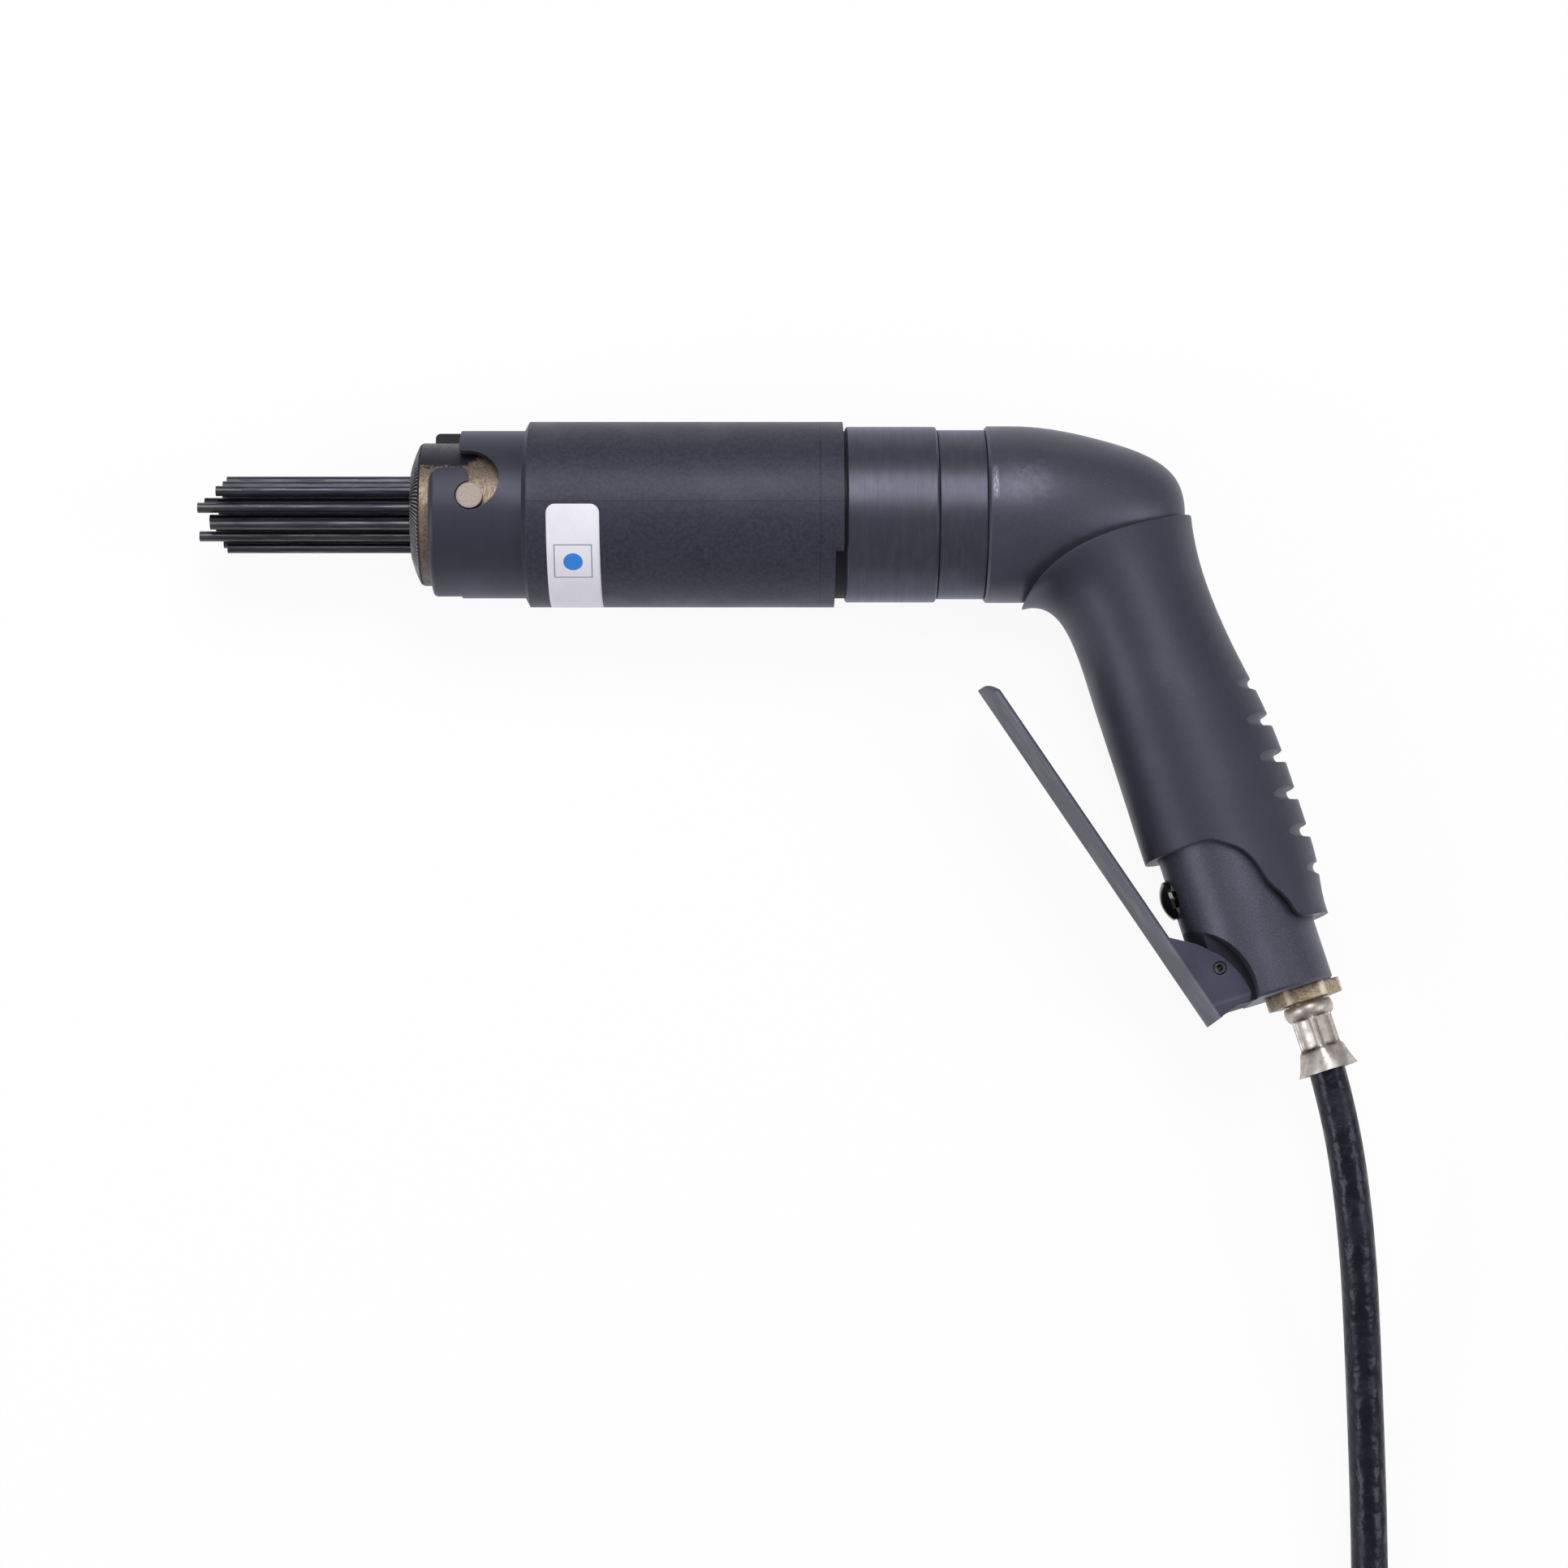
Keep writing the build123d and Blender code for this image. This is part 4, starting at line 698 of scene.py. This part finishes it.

# %% [markdown]
# The needles are hard drawn steel with a blue-black skin. Hammering has scraped the sides where
# they slide and dulled the tips, so the finish changes along the barrel. The inner needles are
# painted darker than the outer ones, as painted shade in the gaps of the bundle.

# %% Needle steel
needle_steel = start_finish("needle_steel", Metallic=0.9)
spot = use(barrel_place)
drawn = vector("MULTIPLY", in_mm(BARREL), (0.1, 1.9, 1.9))
streak = noise(drawn, 1.0, 3.0)
scored = use(scratches, {"Place": drawn, "Width": 0.03})["Mask"]
tip = span(spot["Along"], -178.0, -187.0)
blue = tint(span(streak, 0.35, 0.65), (0.044, 0.044, 0.056), (0.088, 0.089, 0.11))
blue = tint(scored, blue, (0.2, 0.195, 0.2), 0.5)
blue = tint(tip, blue, (0.14, 0.13, 0.135), 0.45)
# painted shade: needles near the axis are darkened as if shaded by the outer ones
inner = span(spot["Out"], 8.2, 6.8)
blue = tint(inner, blue, (0.004, 0.004, 0.005), 0.85)
drawn_skin = span(streak, 0.3, 0.7, 0.4, 0.28)
join(blue, drawn_skin, bump(streak, 0.00003, 0.3))
dress(needle_steel, "needles")

# %% [markdown]
# The throttle button is a hard gloss plastic dome. Gloss needs little colour: a dark body and a
# low roughness do it, with a few hair scratches so that it doesn't look like glass.

# %% Button plastic
button_plastic = start_finish("button_plastic", Specular_IOR_Level=0.6)
scored = use(scratches, {"Place": in_mm(GRIP), "Width": 0.012})["Mask"]
cloud = stains(0.3)
gloss_black = tint(scored, (0.008, 0.008, 0.01), (0.03, 0.03, 0.034))
join(gloss_black, ramp(cloud, 0.12, 0.2))
dress(button_plastic, "throttle_button")

# %% [markdown]
# The inlet nipple is brass that has aged to a grey gold. Its cast skin is speckled, dark oil lies
# along the edge under the handle, and the corners are bright where a spanner has bitten. The corners
# are simply what lies furthest from the nipple's axis.

# %% Aged brass
HANDLE_END, NIPPLE_BACK, CORNER_FROM, CORNER_TO = 148.5, 9.2, 10.25, 10.75
aged_brass = start_finish("aged_brass", Metallic=0.45)
spot = use(grip_place)
cloud = stains(0.35, 0.35, 0.7)
speck = grain_height(1.5)
edge = rubbed(0.0005, 0.3)
ragged = times(noise(in_mm(GRIP), 0.55, 4.0), 2.6)
oily = span(minus(spot["Down"], ragged), HANDLE_END - 0.1, HANDLE_END - 1.5)
gold = tint(span(speck, 0.4, 0.6), (0.22, 0.158, 0.098), (0.41, 0.325, 0.228))
gold = tint(cloud, gold, (0.47, 0.395, 0.295), 0.35)
gold = tint(oily, gold, (0.05, 0.04, 0.03), 0.8)
off_axis = distance(minus(spot["Back"], NIPPLE_BACK), spot["Side"])
bitten = times(span(off_axis, CORNER_FROM, CORNER_TO), ramp(cloud, 0.9, 0.6))
gold = tint(bitten, gold, (0.72, 0.64, 0.54))
cast_skin = span(speck, 0.3, 0.7, 0.52, 0.36)
join(gold, cast_skin, bump(speck, 0.00004, 0.5, edge["Normal"]))
dress(aged_brass, "inlet_nipple")

# %% [markdown]
# The ferrules are nickel-plated: bright and faintly warm. Painted shade and dark reflections
# lie in the hollows of the crimp. They follow the press marks, so they are kept with the piece's
# points, as an attribute.
# The plug at the hose's far end is plated steel, a cooler grey.

# %% Nickel and plated steel
nickel = start_finish("nickel", Metallic=0.9)
cloud = stains(0.35, 0.36, 0.7)
speck = grain_height(1.2)
# painted shade and dark reflections at the ends of the crimp windows and beside the ridges
painted_crimp_shade = put("Attribute", attribute_name="painted_crimp_shade").outputs["Fac"]
warm = tint(cloud, (0.4, 0.355, 0.325), (0.58, 0.545, 0.52))
warm = tint(times(span(speck, 0.58, 0.72), 0.5), warm, (0.24, 0.195, 0.165))
warm = tint(painted_crimp_shade, warm, (0.085, 0.078, 0.08))
join(warm, ramp(cloud, 0.44, 0.38), bump(speck, 0.00003, 0.3))
dress(nickel, "hose_ferrule", "hose_end_ferrule")

plated_steel = start_finish("plated_steel", Metallic=1.0)
cloud = stains(0.25, 0.36, 0.7)
edge = rubbed(0.0004, 0.3)
plate = tint(cloud, (0.4, 0.4, 0.41), (0.62, 0.62, 0.62))
join(plate, ramp(cloud, 0.34, 0.22), edge["Normal"])
dress(plated_steel, "hose_end_plug")

# %% [markdown]
# Inside, the parts are ground steel, spring wire, bronze and rubber, seen only when the tool is
# opened. The valve bush is the one whose face is out in the open, round the button, so oil and dust
# have turned it dark.

# %% Inside finishes
ground_steel = start_finish("ground_steel", Metallic=1.0)
lines = turned_lines(use(barrel_place))
steel = tint(lines, (0.3, 0.3, 0.31), (0.48, 0.48, 0.49))
join(steel, span(lines, 0.2, 0.8, 0.4, 0.24))
dress(
    ground_steel, "needle_holder", "anvil", "cylinder", "piston", "valve_seat", "valve_disc", "valve_cover"
)

wire_greys = ((0.16, 0.16, 0.165), (0.34, 0.34, 0.35))
spring_wire = cloudy_finish("spring_wire", 1.0, 0.4, wire_greys, (0.4, 0.26))
dress(spring_wire, "return_spring", "lever_spring", "poppet_spring")

pivot_steel = start_finish("pivot_steel", Metallic=0.7)
cloud = stains(0.6, 0.36, 0.7)
edge = rubbed(0.0003, 0.8)
dark = tint(cloud, (0.018, 0.018, 0.022), (0.05, 0.05, 0.058))
dark = tint(edge["Edge"], dark, (0.22, 0.22, 0.23), 0.6)
join(dark, ramp(cloud, 0.42, 0.3))
dress(pivot_steel, "lever_pin")

bush_golds = ((0.36, 0.25, 0.12), (0.55, 0.41, 0.22))
bush_bronze = cloudy_finish("bush_bronze", 1.0, 0.3, bush_golds, (0.4, 0.28))
dress(bush_bronze, "anvil_bush")

oily_browns = ((0.012, 0.01, 0.008), (0.035, 0.028, 0.02))
oiled_bronze = cloudy_finish("oiled_bronze", 0.5, 0.3, oily_browns, (0.55, 0.4))
dress(oiled_bronze, "valve_bush")

seal_rubber = start_finish("seal_rubber", Specular_IOR_Level=0.4)
fine = grain_height(4.0)
soft_black = tint(fine, (0.01, 0.01, 0.011), (0.022, 0.022, 0.024))
join(soft_black, span(fine, 0.3, 0.7, 0.55, 0.42))
dress(seal_rubber, "joint_seal", "stem_seal")

# %% [markdown]
# The hose is a smooth black tube with a low shine that draws the lamps and the bench out as streaks.
# Small dents and a film of dust break the streaks up, or it would look like wet paint.

# %% Hose rubber
hose_rubber = start_finish("hose_rubber", Specular_IOR_Level=0.35, Specular_Tint=COOL)
cloud = stains(0.12)
dents = grain_height(0.16)
ripple = grain_height(0.7)
speck = grain_height(1.5)
black = tint(cloud, (0.005, 0.005, 0.008), (0.01, 0.01, 0.015))
black = tint(span(speck, 0.66, 0.76), black, (0.04, 0.04, 0.048))
height = calc("ADD", dents, times(ripple, 0.12))
join(black, ramp(cloud, 0.3, 0.44), bump(height, 0.0012, 0.8))
hose_line.materials.append(hose_rubber)
print(hose_rubber.name, "on", hose.name)

# %% [markdown]
# New pieces are grids of points. One function turns a grid, rows by columns by three, into a mesh:
# four neighbours make a face, and a direction that closes on itself joins its last line to its first.

# %% Grids to meshes
SHARP = math.radians(40)


def grid_piece(name, points, wrap_rows=False, wrap_columns=False, ends=False, flip=False):
    """A mesh object from an array of points. Ends closes the first and last row with one face each."""
    rows, columns = points.shape[:2]
    row = np.arange(rows if wrap_rows else rows - 1)
    column = np.arange(columns if wrap_columns else columns - 1)
    r, c = np.meshgrid(row, column, indexing="ij")
    r_next, c_next = (r + 1) % rows, (c + 1) % columns
    here, below = r * columns, r_next * columns
    faces = np.stack([here + c, here + c_next, below + c_next, below + c], -1).reshape(-1, 4).tolist()
    if ends:
        faces.append(list(range(columns))[::-1])
        faces.append(list(range((rows - 1) * columns, rows * columns)))
    if flip:
        faces = [face[::-1] for face in faces]
    mesh = bpy.data.meshes.new(name)
    mesh.from_pydata(points.reshape(-1, 3).tolist(), [], faces)
    mesh.shade_smooth()
    mesh.set_sharp_from_angle(angle=SHARP)
    piece = show(name, mesh)
    print(name, "points", rows * columns, "faces", len(faces))
    return piece


def on_barrel(along, outward, turn):
    """Points from places on the barrel: along it in mm, out from its axis in mm, and degrees round
    from the top, towards the upper edge of the picture."""
    angle = np.radians(turn)
    y, z = outward * np.sin(angle), outward * np.cos(angle)
    return BARREL + np.stack(np.broadcast_arrays(along, y, z), -1) * MM


def smooth_step(value, low, high):
    """0 below low, 1 above high, and an S curve between."""
    t = np.clip((value - low) / (high - low), 0, 1)
    return t * t * (3 - 2 * t)


# %% [markdown]
# The ferrule is a metal cup pressed onto the hose with a six-jawed tool. Its radius is a function
# of the way along it and the angle round it: a rounded collar, a neck pressed into six windows with
# a ridge between each pair, and a skirt that flares where the jaws let go. A plain turned part can't
# have this shape, so both ferrules are worked out here, with painted shade in their hollows.

# %% Crimped ferrules
COLLAR_END, CRIMP_END, FERRULE_END = 3.5, 12.9, 20.0
NECK, WINDOW, RIDGE, SKIRT, WALL, SWELL_OUT = 6.65, 5.72, 6.5, 8.0, 0.8, 0.48
TAIL_FIT, HOSE_FIT, HOSE_IN, NIPPLE_END = 5.25, 5.35, 12.0, 153.3
TOP_STEP, LOW_STEP, RIDGE_WIDE = 1.1, 1.0, 0.13
RIDGE_TURN, EAR_TURN = math.radians(-10), math.radians(82)
EAR_REACH, EAR_WIDE, HOLLOW = 0.7, 0.1, 0.9


def ferrule_parts(s, f):
    """Outer radius and painted shade, in mm along s and round by f. The collar is half a sine on the neck.
    Six jaws press it down to WINDOW and leave a bell-shaped ridge between each pair of windows.
    Past the jaws the skirt swells to a shoulder, as the root of the way along it. Each window's hollow
    runs out into it, and a small ear is drawn out on both sides, where the jaws part. Painted shade and
    dark reflections lie at both ends of each window, and along the ridges."""
    g = f - RIDGE_TURN
    collar = SWELL_OUT * np.sin(np.pi * np.clip(s / COLLAR_END, 0, 1)) ** 0.8
    skirt_way = np.clip((s - CRIMP_END) / (FERRULE_END - CRIMP_END), 0, 1)
    from_ear = np.abs(np.mod(f - EAR_TURN + np.pi / 2, np.pi) - np.pi / 2)
    ear = EAR_REACH * np.exp(-((from_ear / EAR_WIDE) ** 2)) * skirt_way**4
    in_window = -np.cos(6 * g)
    run_out = HOLLOW * (1 + in_window) / 2 * (1 - skirt_way) ** 1.5
    run_out = run_out * smooth_step(s, COLLAR_END + TOP_STEP, CRIMP_END)
    plain = NECK + collar + (SKIRT - NECK) * skirt_way**0.6 + ear - run_out
    from_ridge = np.pi / 6 - np.abs(np.mod(g, np.pi / 3) - np.pi / 6)
    crimp = WINDOW + (RIDGE - WINDOW) * np.exp(-((from_ridge / RIDGE_WIDE) ** 2))
    pressed = smooth_step(s, COLLAR_END - 0.1, COLLAR_END + TOP_STEP)
    pressed = pressed * (1 - smooth_step(s, CRIMP_END - LOW_STEP, CRIMP_END + LOW_STEP))
    outer = plain * (1 - pressed) + crimp * pressed
    # painted shade at the window ends and beside the ridges, kept for the finish
    low_end = np.exp(-(((s - CRIMP_END - 0.1) / 0.7) ** 2)) * smooth_step(in_window, -0.4, 0.5)
    top_end = np.exp(-(((s - COLLAR_END - 0.6) / 0.5) ** 2)) * smooth_step(in_window, -0.3, 0.6)
    by_ridge = np.exp(-(((from_ridge - 0.19) / 0.05) ** 2)) * pressed
    return outer, np.clip(0.95 * low_end + 0.9 * top_end + 0.6 * by_ridge, 0, 1)


def crimped_piece(name, origin, axis, sideways):
    """A closed wall: the outside from collar to skirt, then back along the hose inside it. The ring
    of each row lies square to the axis, from sideways to upright."""
    f = np.linspace(0, 2 * np.pi, 180, endpoint=False)[None, :]
    s = np.concatenate([np.linspace(0, COLLAR_END, 12), np.linspace(COLLAR_END, FERRULE_END, 80)[1:]])
    s = s[:, None]
    outer, painted_crimp_shade = ferrule_parts(s, f)
    inner_s = np.array([FERRULE_END, COLLAR_END + HOSE_IN, COLLAR_END, COLLAR_END, 0.0])[:, None]
    inner = np.array([0.0, HOSE_FIT, HOSE_FIT, TAIL_FIT, TAIL_FIT])[:, None] + 0 * f
    inner[0] = outer[-1] - WALL
    radius = np.concatenate([outer, inner])
    along = np.concatenate([s, inner_s]) + 0 * f
    ring = sideways * np.sin(f)[..., None] + UP * np.cos(f)[..., None]
    points = origin + (axis * along[..., None] + ring * radius[..., None]) * MM
    piece = grid_piece(name, points, wrap_rows=True, wrap_columns=True)
    kept = piece.data.attributes.new("painted_crimp_shade", "FLOAT", "POINT")
    kept.data.foreach_set("value", np.concatenate([painted_crimp_shade, 0 * inner]).ravel())
    piece.data.materials.append(nickel)
    return piece


hose_end = np.array((0.1866, -0.41668, 0.0085))
ferrule_start = GRIP + (DOWN * NIPPLE_END + BACK * NIPPLE_BACK) * MM
handle_ferrule = crimped_piece("crimped_ferrule", ferrule_start, DOWN, BACK)
along_y, against_x = np.array((0.0, 1.0, 0.0)), np.array((-1.0, 0.0, 0.0))
far_ferrule = crimped_piece("crimped_end_ferrule", hose_end, along_y, against_x)
for piece, node in ((handle_ferrule, "hose_ferrule"), (far_ferrule, "hose_end_ferrule")):
    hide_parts(node)
    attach(piece, "tool_body")

# %% [markdown]
# The guide's face has a ring of slanting teeth, cut so that a gloved hand can turn it out of its catch.
# The ring follows the domed face: each point is the face's own height, plus a tooth that is a
# triangle wave round the ring and fades at both rims. Oil fills the valleys and hands polish the
# crests, so the wave is kept as an attribute for the finish to read.

# %% Toothed ring on the guide
TEETH, TOOTH_STEPS, TOOTH_HEIGHT, TOOTH_SLANT = 108, 8, 0.75, 0.3
GUIDE_FRONT, DOME, SWELL, OUTER_R, INNER_R = -122.3, 3.1, 0.3, 20.89, 12.4
TEETH_IN, TEETH_OUT, ABOVE, BEDDED = 12.9, 20.8, 0.02, 0.25


def dome_along(radius):
    """The guide's face: a straight cone from its rim to its flat, with a small swell between."""
    t = (OUTER_R - radius) / (OUTER_R - INNER_R)
    return GUIDE_FRONT - DOME * t - SWELL * 4 * t * (1 - t)


turn = np.linspace(0, 360, TEETH * TOOTH_STEPS, endpoint=False)[None, :]
radius = np.linspace(TEETH_IN, TEETH_OUT, 20)[:, None]
wave = np.abs(2 * np.mod(turn * TEETH / 360 + radius * TOOTH_SLANT, 1) - 1)
fade = smooth_step(radius, TEETH_IN, TEETH_IN + 0.6) * (1 - smooth_step(radius, TEETH_OUT - 0.4, TEETH_OUT))
face = dome_along(radius) - ABOVE - TOOTH_HEIGHT * wave * fade
under = dome_along(radius[::-1]) + BEDDED + 0 * turn
tooth_grid = on_barrel(
    np.concatenate([face, under]),
    np.concatenate([radius, radius[::-1]]) + 0 * turn,
    np.concatenate([turn + 0 * radius] * 2),
)
toothed_ring = grid_piece("toothed_ring", tooth_grid, wrap_rows=True, wrap_columns=True, flip=True)
crest = toothed_ring.data.attributes.new("crest", "FLOAT", "POINT")
crest.data.foreach_set("value", np.concatenate([wave * fade, 0 * under]).ravel())

tooth_oxide = start_finish("tooth_oxide", Metallic=0.4)
cloud = stains(0.4)
high = put("Attribute", attribute_name="crest").outputs["Fac"]
dark = tint(span(high, 0.15, 0.55), (0.003, 0.003, 0.004), (0.04, 0.04, 0.05))
polished = times(span(high, 0.5, 0.8), ramp(cloud, 0.6, 1.0))
steel = tint(polished, dark, (0.34, 0.335, 0.36))
join(steel, ramp(cloud, 0.5, 0.38))
toothed_ring.data.materials.append(tooth_oxide)
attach(toothed_ring, "front_guide")

# %% [markdown]
# A paper sticker is wrapped a third of the way round the sleeve: white, with a thin frame and a
# plain blue dot. The sheet is a strip of the sleeve's own cylinder, a tenth of a millimetre thick
# and a little askew, whose width draws in at both ends as the corners round off.

# %% Sticker
LEFT, RIGHT, ASKEW, PROUD, PAPER = -85.5, -70.22, 0.01, 0.03, 0.1
FIRST_TURN, LAST_TURN = -6.9, -128.0
SLEEVE_R, CORNER = 27.15, 2.6
arc_length = SLEEVE_R * math.radians(FIRST_TURN - LAST_TURN)
wrap = arc_length * (0.5 - 0.5 * np.cos(np.linspace(0, np.pi, 72)))
to_end = np.clip(CORNER - np.minimum(wrap, arc_length - wrap), 0, CORNER)
draw_in = CORNER - np.sqrt(CORNER**2 - to_end**2)
share = np.linspace(0, 1, 20)[None, :]
across = (LEFT + draw_in)[:, None] * (1 - share) + (RIGHT - draw_in)[:, None] * share
across = across + ASKEW * wrap[:, None]
degrees_round = FIRST_TURN - np.degrees(wrap / SLEEVE_R)[:, None]
sticker = grid_piece("sleeve_sticker", on_barrel(across, SLEEVE_R + PROUD, degrees_round))
backing = sticker.modifiers.new("paper", "SOLIDIFY")
backing.thickness = PAPER * MM
backing.offset = 1.0

DOT_MIDDLE, FRAME_HALF, DOT_RADIUS = (-77.84, -19.1, 0.0), 5.37, 2.8
paper = start_finish("sticker_paper", Specular_IOR_Level=0.4)
spot = use(barrel_place)
fine = grain_height(1.8)
cloud = stains(0.12)
from_dot = vector("SUBTRACT", spot["Unrolled"], DOT_MIDDLE)
local = put("SeparateXYZ", {0: from_dot}).outputs
tall = times(local["Y"], 1.07)
square = calc("MAXIMUM", calc("ABSOLUTE", local["X"]), calc("ABSOLUTE", tall))
frame_line = band(square, FRAME_HALF - 0.1, FRAME_HALF + 0.1, 0.12)
dot = span(distance(local["X"], tall), DOT_RADIUS + 0.08, DOT_RADIUS - 0.08)
white = tint(fine, (0.72, 0.71, 0.78), (0.8, 0.79, 0.85))
white = tint(cloud, white, (0.65, 0.64, 0.71), 0.3)
white = tint(frame_line, white, (0.1, 0.1, 0.12), 0.8)
white = tint(dot, white, (0.03, 0.21, 0.68))
join(white, span(fine, 0.3, 0.7, 0.46, 0.38), bump(fine, 0.00003, 0.3))
sticker.data.materials.append(paper)
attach(sticker, "tool_body")

# %% [markdown]
# The sleeve's mould closes along its length and leaves a hairline ridge. It is a half-round bead,
# carried straight along the top of the sleeve and sunk until less than a tenth of a mm shows.

# %% Mould line
BEAD, BEAD_SHOWS, BEAD_AT = 0.22, 0.07, -5.2
bead_turn = np.linspace(-90, 90, 9)[None, :]
bead_side = BEAD * np.sin(np.radians(bead_turn))
bead_rise = BEAD * np.cos(np.radians(bead_turn)) - BEAD + BEAD_SHOWS
along = np.array([-91.2, -91.0, -60.0, -30.0, -0.3, -0.1])[:, None]
taper = np.array([0.3, 1.0, 1.0, 1.0, 1.0, 0.3])[:, None]
mould_line = grid_piece(
    "mould_line",
    on_barrel(along, SLEEVE_R + bead_rise * taper, np.degrees(bead_side / SLEEVE_R) + BEAD_AT),
    ends=True, flip=True,
)
mould_line.data.materials.append(sleeve_plastic)
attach(mould_line, "tool_body")

# %% [markdown]
# Springs give way when the tool works. Each one is a round wire on a helix. The return spring
# is pressed from both ends, by the guide and by the needle holder, so it is drawn as two lengths
# that meet one turn in, at a place that stands still.

# %% Springs
RETURN_FRONT, RETURN_LENGTH, RETURN_RADIUS, RETURN_WIRE, RETURN_TURNS = -93.0, 19.6, 15.2, 1.1, 4.5
POPPET_DOWN, POPPET_FRONT, POPPET_LENGTH = 113.6, 5.9, 6.35
POPPET_RADIUS, POPPET_WIRE, POPPET_TURNS = 3.0, 0.45, 5.0
ALONG = np.array((1.0, 0.0, 0.0))


def coil_wire(name, origin, axis, sizes, first, last):
    """The share of a spring from first to last: a circle of the wire's radius, carried round a helix
    that starts upright and climbs along the axis. The circle lies in the plane through the axis."""
    length, radius, wire, turns = sizes
    t = np.linspace(first, last, int(48 * turns * (last - first)) + 1)[:, None]
    f = 2 * np.pi * turns * t
    out = UP * np.cos(f) + np.cross(axis, UP) * np.sin(f)
    ring = np.linspace(0, 2 * np.pi, 14, endpoint=False)[None, :, None]
    middle = origin + (axis * length * t + out * radius) * MM
    points = middle[:, None, :] + (out[:, None, :] * np.cos(ring) + axis * np.sin(ring)) * wire * MM
    return grid_piece(name, points, wrap_columns=True, ends=True, flip=True)


def press(piece, node):
    """Let a spring stand for its node: hide the node and give the spring the wire finish."""
    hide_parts(node)
    piece.data.materials.append(spring_wire)
    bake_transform(piece)


return_sizes = (RETURN_LENGTH, RETURN_RADIUS, RETURN_WIRE, RETURN_TURNS)
return_start = BARREL + ALONG * RETURN_FRONT * MM
meet = 1 / RETURN_TURNS
front_length = coil_wire("return_spring_front", return_start, ALONG, return_sizes, 0.0, meet)
press(front_length, "return_spring")
rear_length = coil_wire("return_spring_rear", return_start, ALONG, return_sizes, meet, 1.0)
press(rear_length, "return_spring")

poppet_sizes = (POPPET_LENGTH, POPPET_RADIUS, POPPET_WIRE, POPPET_TURNS)
poppet_start = GRIP + (DOWN * POPPET_DOWN + BACK * POPPET_FRONT) * MM
poppet_coil = coil_wire("poppet_spring_coil", poppet_start, BACK, poppet_sizes, 0.0, 1.0)
press(poppet_coil, "poppet_spring")

# %% [markdown]
# A hook-and-loop strap holds the coil. It is one flat band that goes round four turns of hose and
# then over itself. Round a bundle, a tight band runs at a fixed distance outside the corner that
# lies furthest in each direction, so no straight runs or arcs have to be drawn.

# %% Coil strap
STRAP_WALL, STRAP_GAP, STRAP_FIT = 0.9, 0.55, 0.08
STRAP_FROM, STRAP_TO, OVER_FROM, OVER_TO = 10, 490, 345, 372
side, low, step = (COIL_X - COIL_RADIUS) / MM, COIL_Z / MM, LAYER_RISE / MM
high = low + step
corners = np.array([(side, low), (side + step, low), (side + 2 * step, high), (side + step, high)])
angle = np.radians(np.linspace(STRAP_FROM, STRAP_TO, 193))
way = np.stack([np.cos(angle), np.sin(angle)], -1)
furthest = corners[np.argmax(way @ corners.T, axis=1)]
layer = smooth_step(np.degrees(angle), OVER_FROM, OVER_TO) * (STRAP_WALL + STRAP_FIT)
section = np.array([
    (0, -3.7), (0, 3.7), (0.15, 4.0), (0.75, 4.0), (0.9, 3.7), (0.9, -3.7), (0.75, -4.0), (0.15, -4.0),
])
rise = HOSE_RADIUS / MM + STRAP_GAP + layer[:, None] + section[None, :, 0]
flat_points = furthest[:, None, :] + way[:, None, :] * rise[..., None]
strap_y = COIL_Y / MM + section[None, :, 1] + 0 * rise
strap_grid = np.stack([flat_points[..., 0], strap_y, flat_points[..., 1]], -1) * MM
strap = grid_piece("coil_strap", strap_grid, wrap_columns=True, ends=True, flip=True)

THREADS = 7.0
strap_weave = start_finish("strap_weave", Specular_IOR_Level=0.3, Sheen_Weight=0.3)
spot = put("SeparateXYZ", {0: in_mm()}).outputs
warp = calc("SINE", times(spot["Y"], THREADS))
weft = calc("SINE", times(calc("ADD", spot["X"], spot["Z"]), THREADS))
weave = span(times(warp, weft), -1.0, 1.0)
cloth = tint(weave, (0.01, 0.01, 0.012), (0.03, 0.03, 0.034))
join(cloth, ramp(weave, 0.85, 0.65), bump(weave, 0.0002, 0.7))
strap.data.materials.append(strap_weave)
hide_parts("hose_tie")
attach(strap, "tool_body")
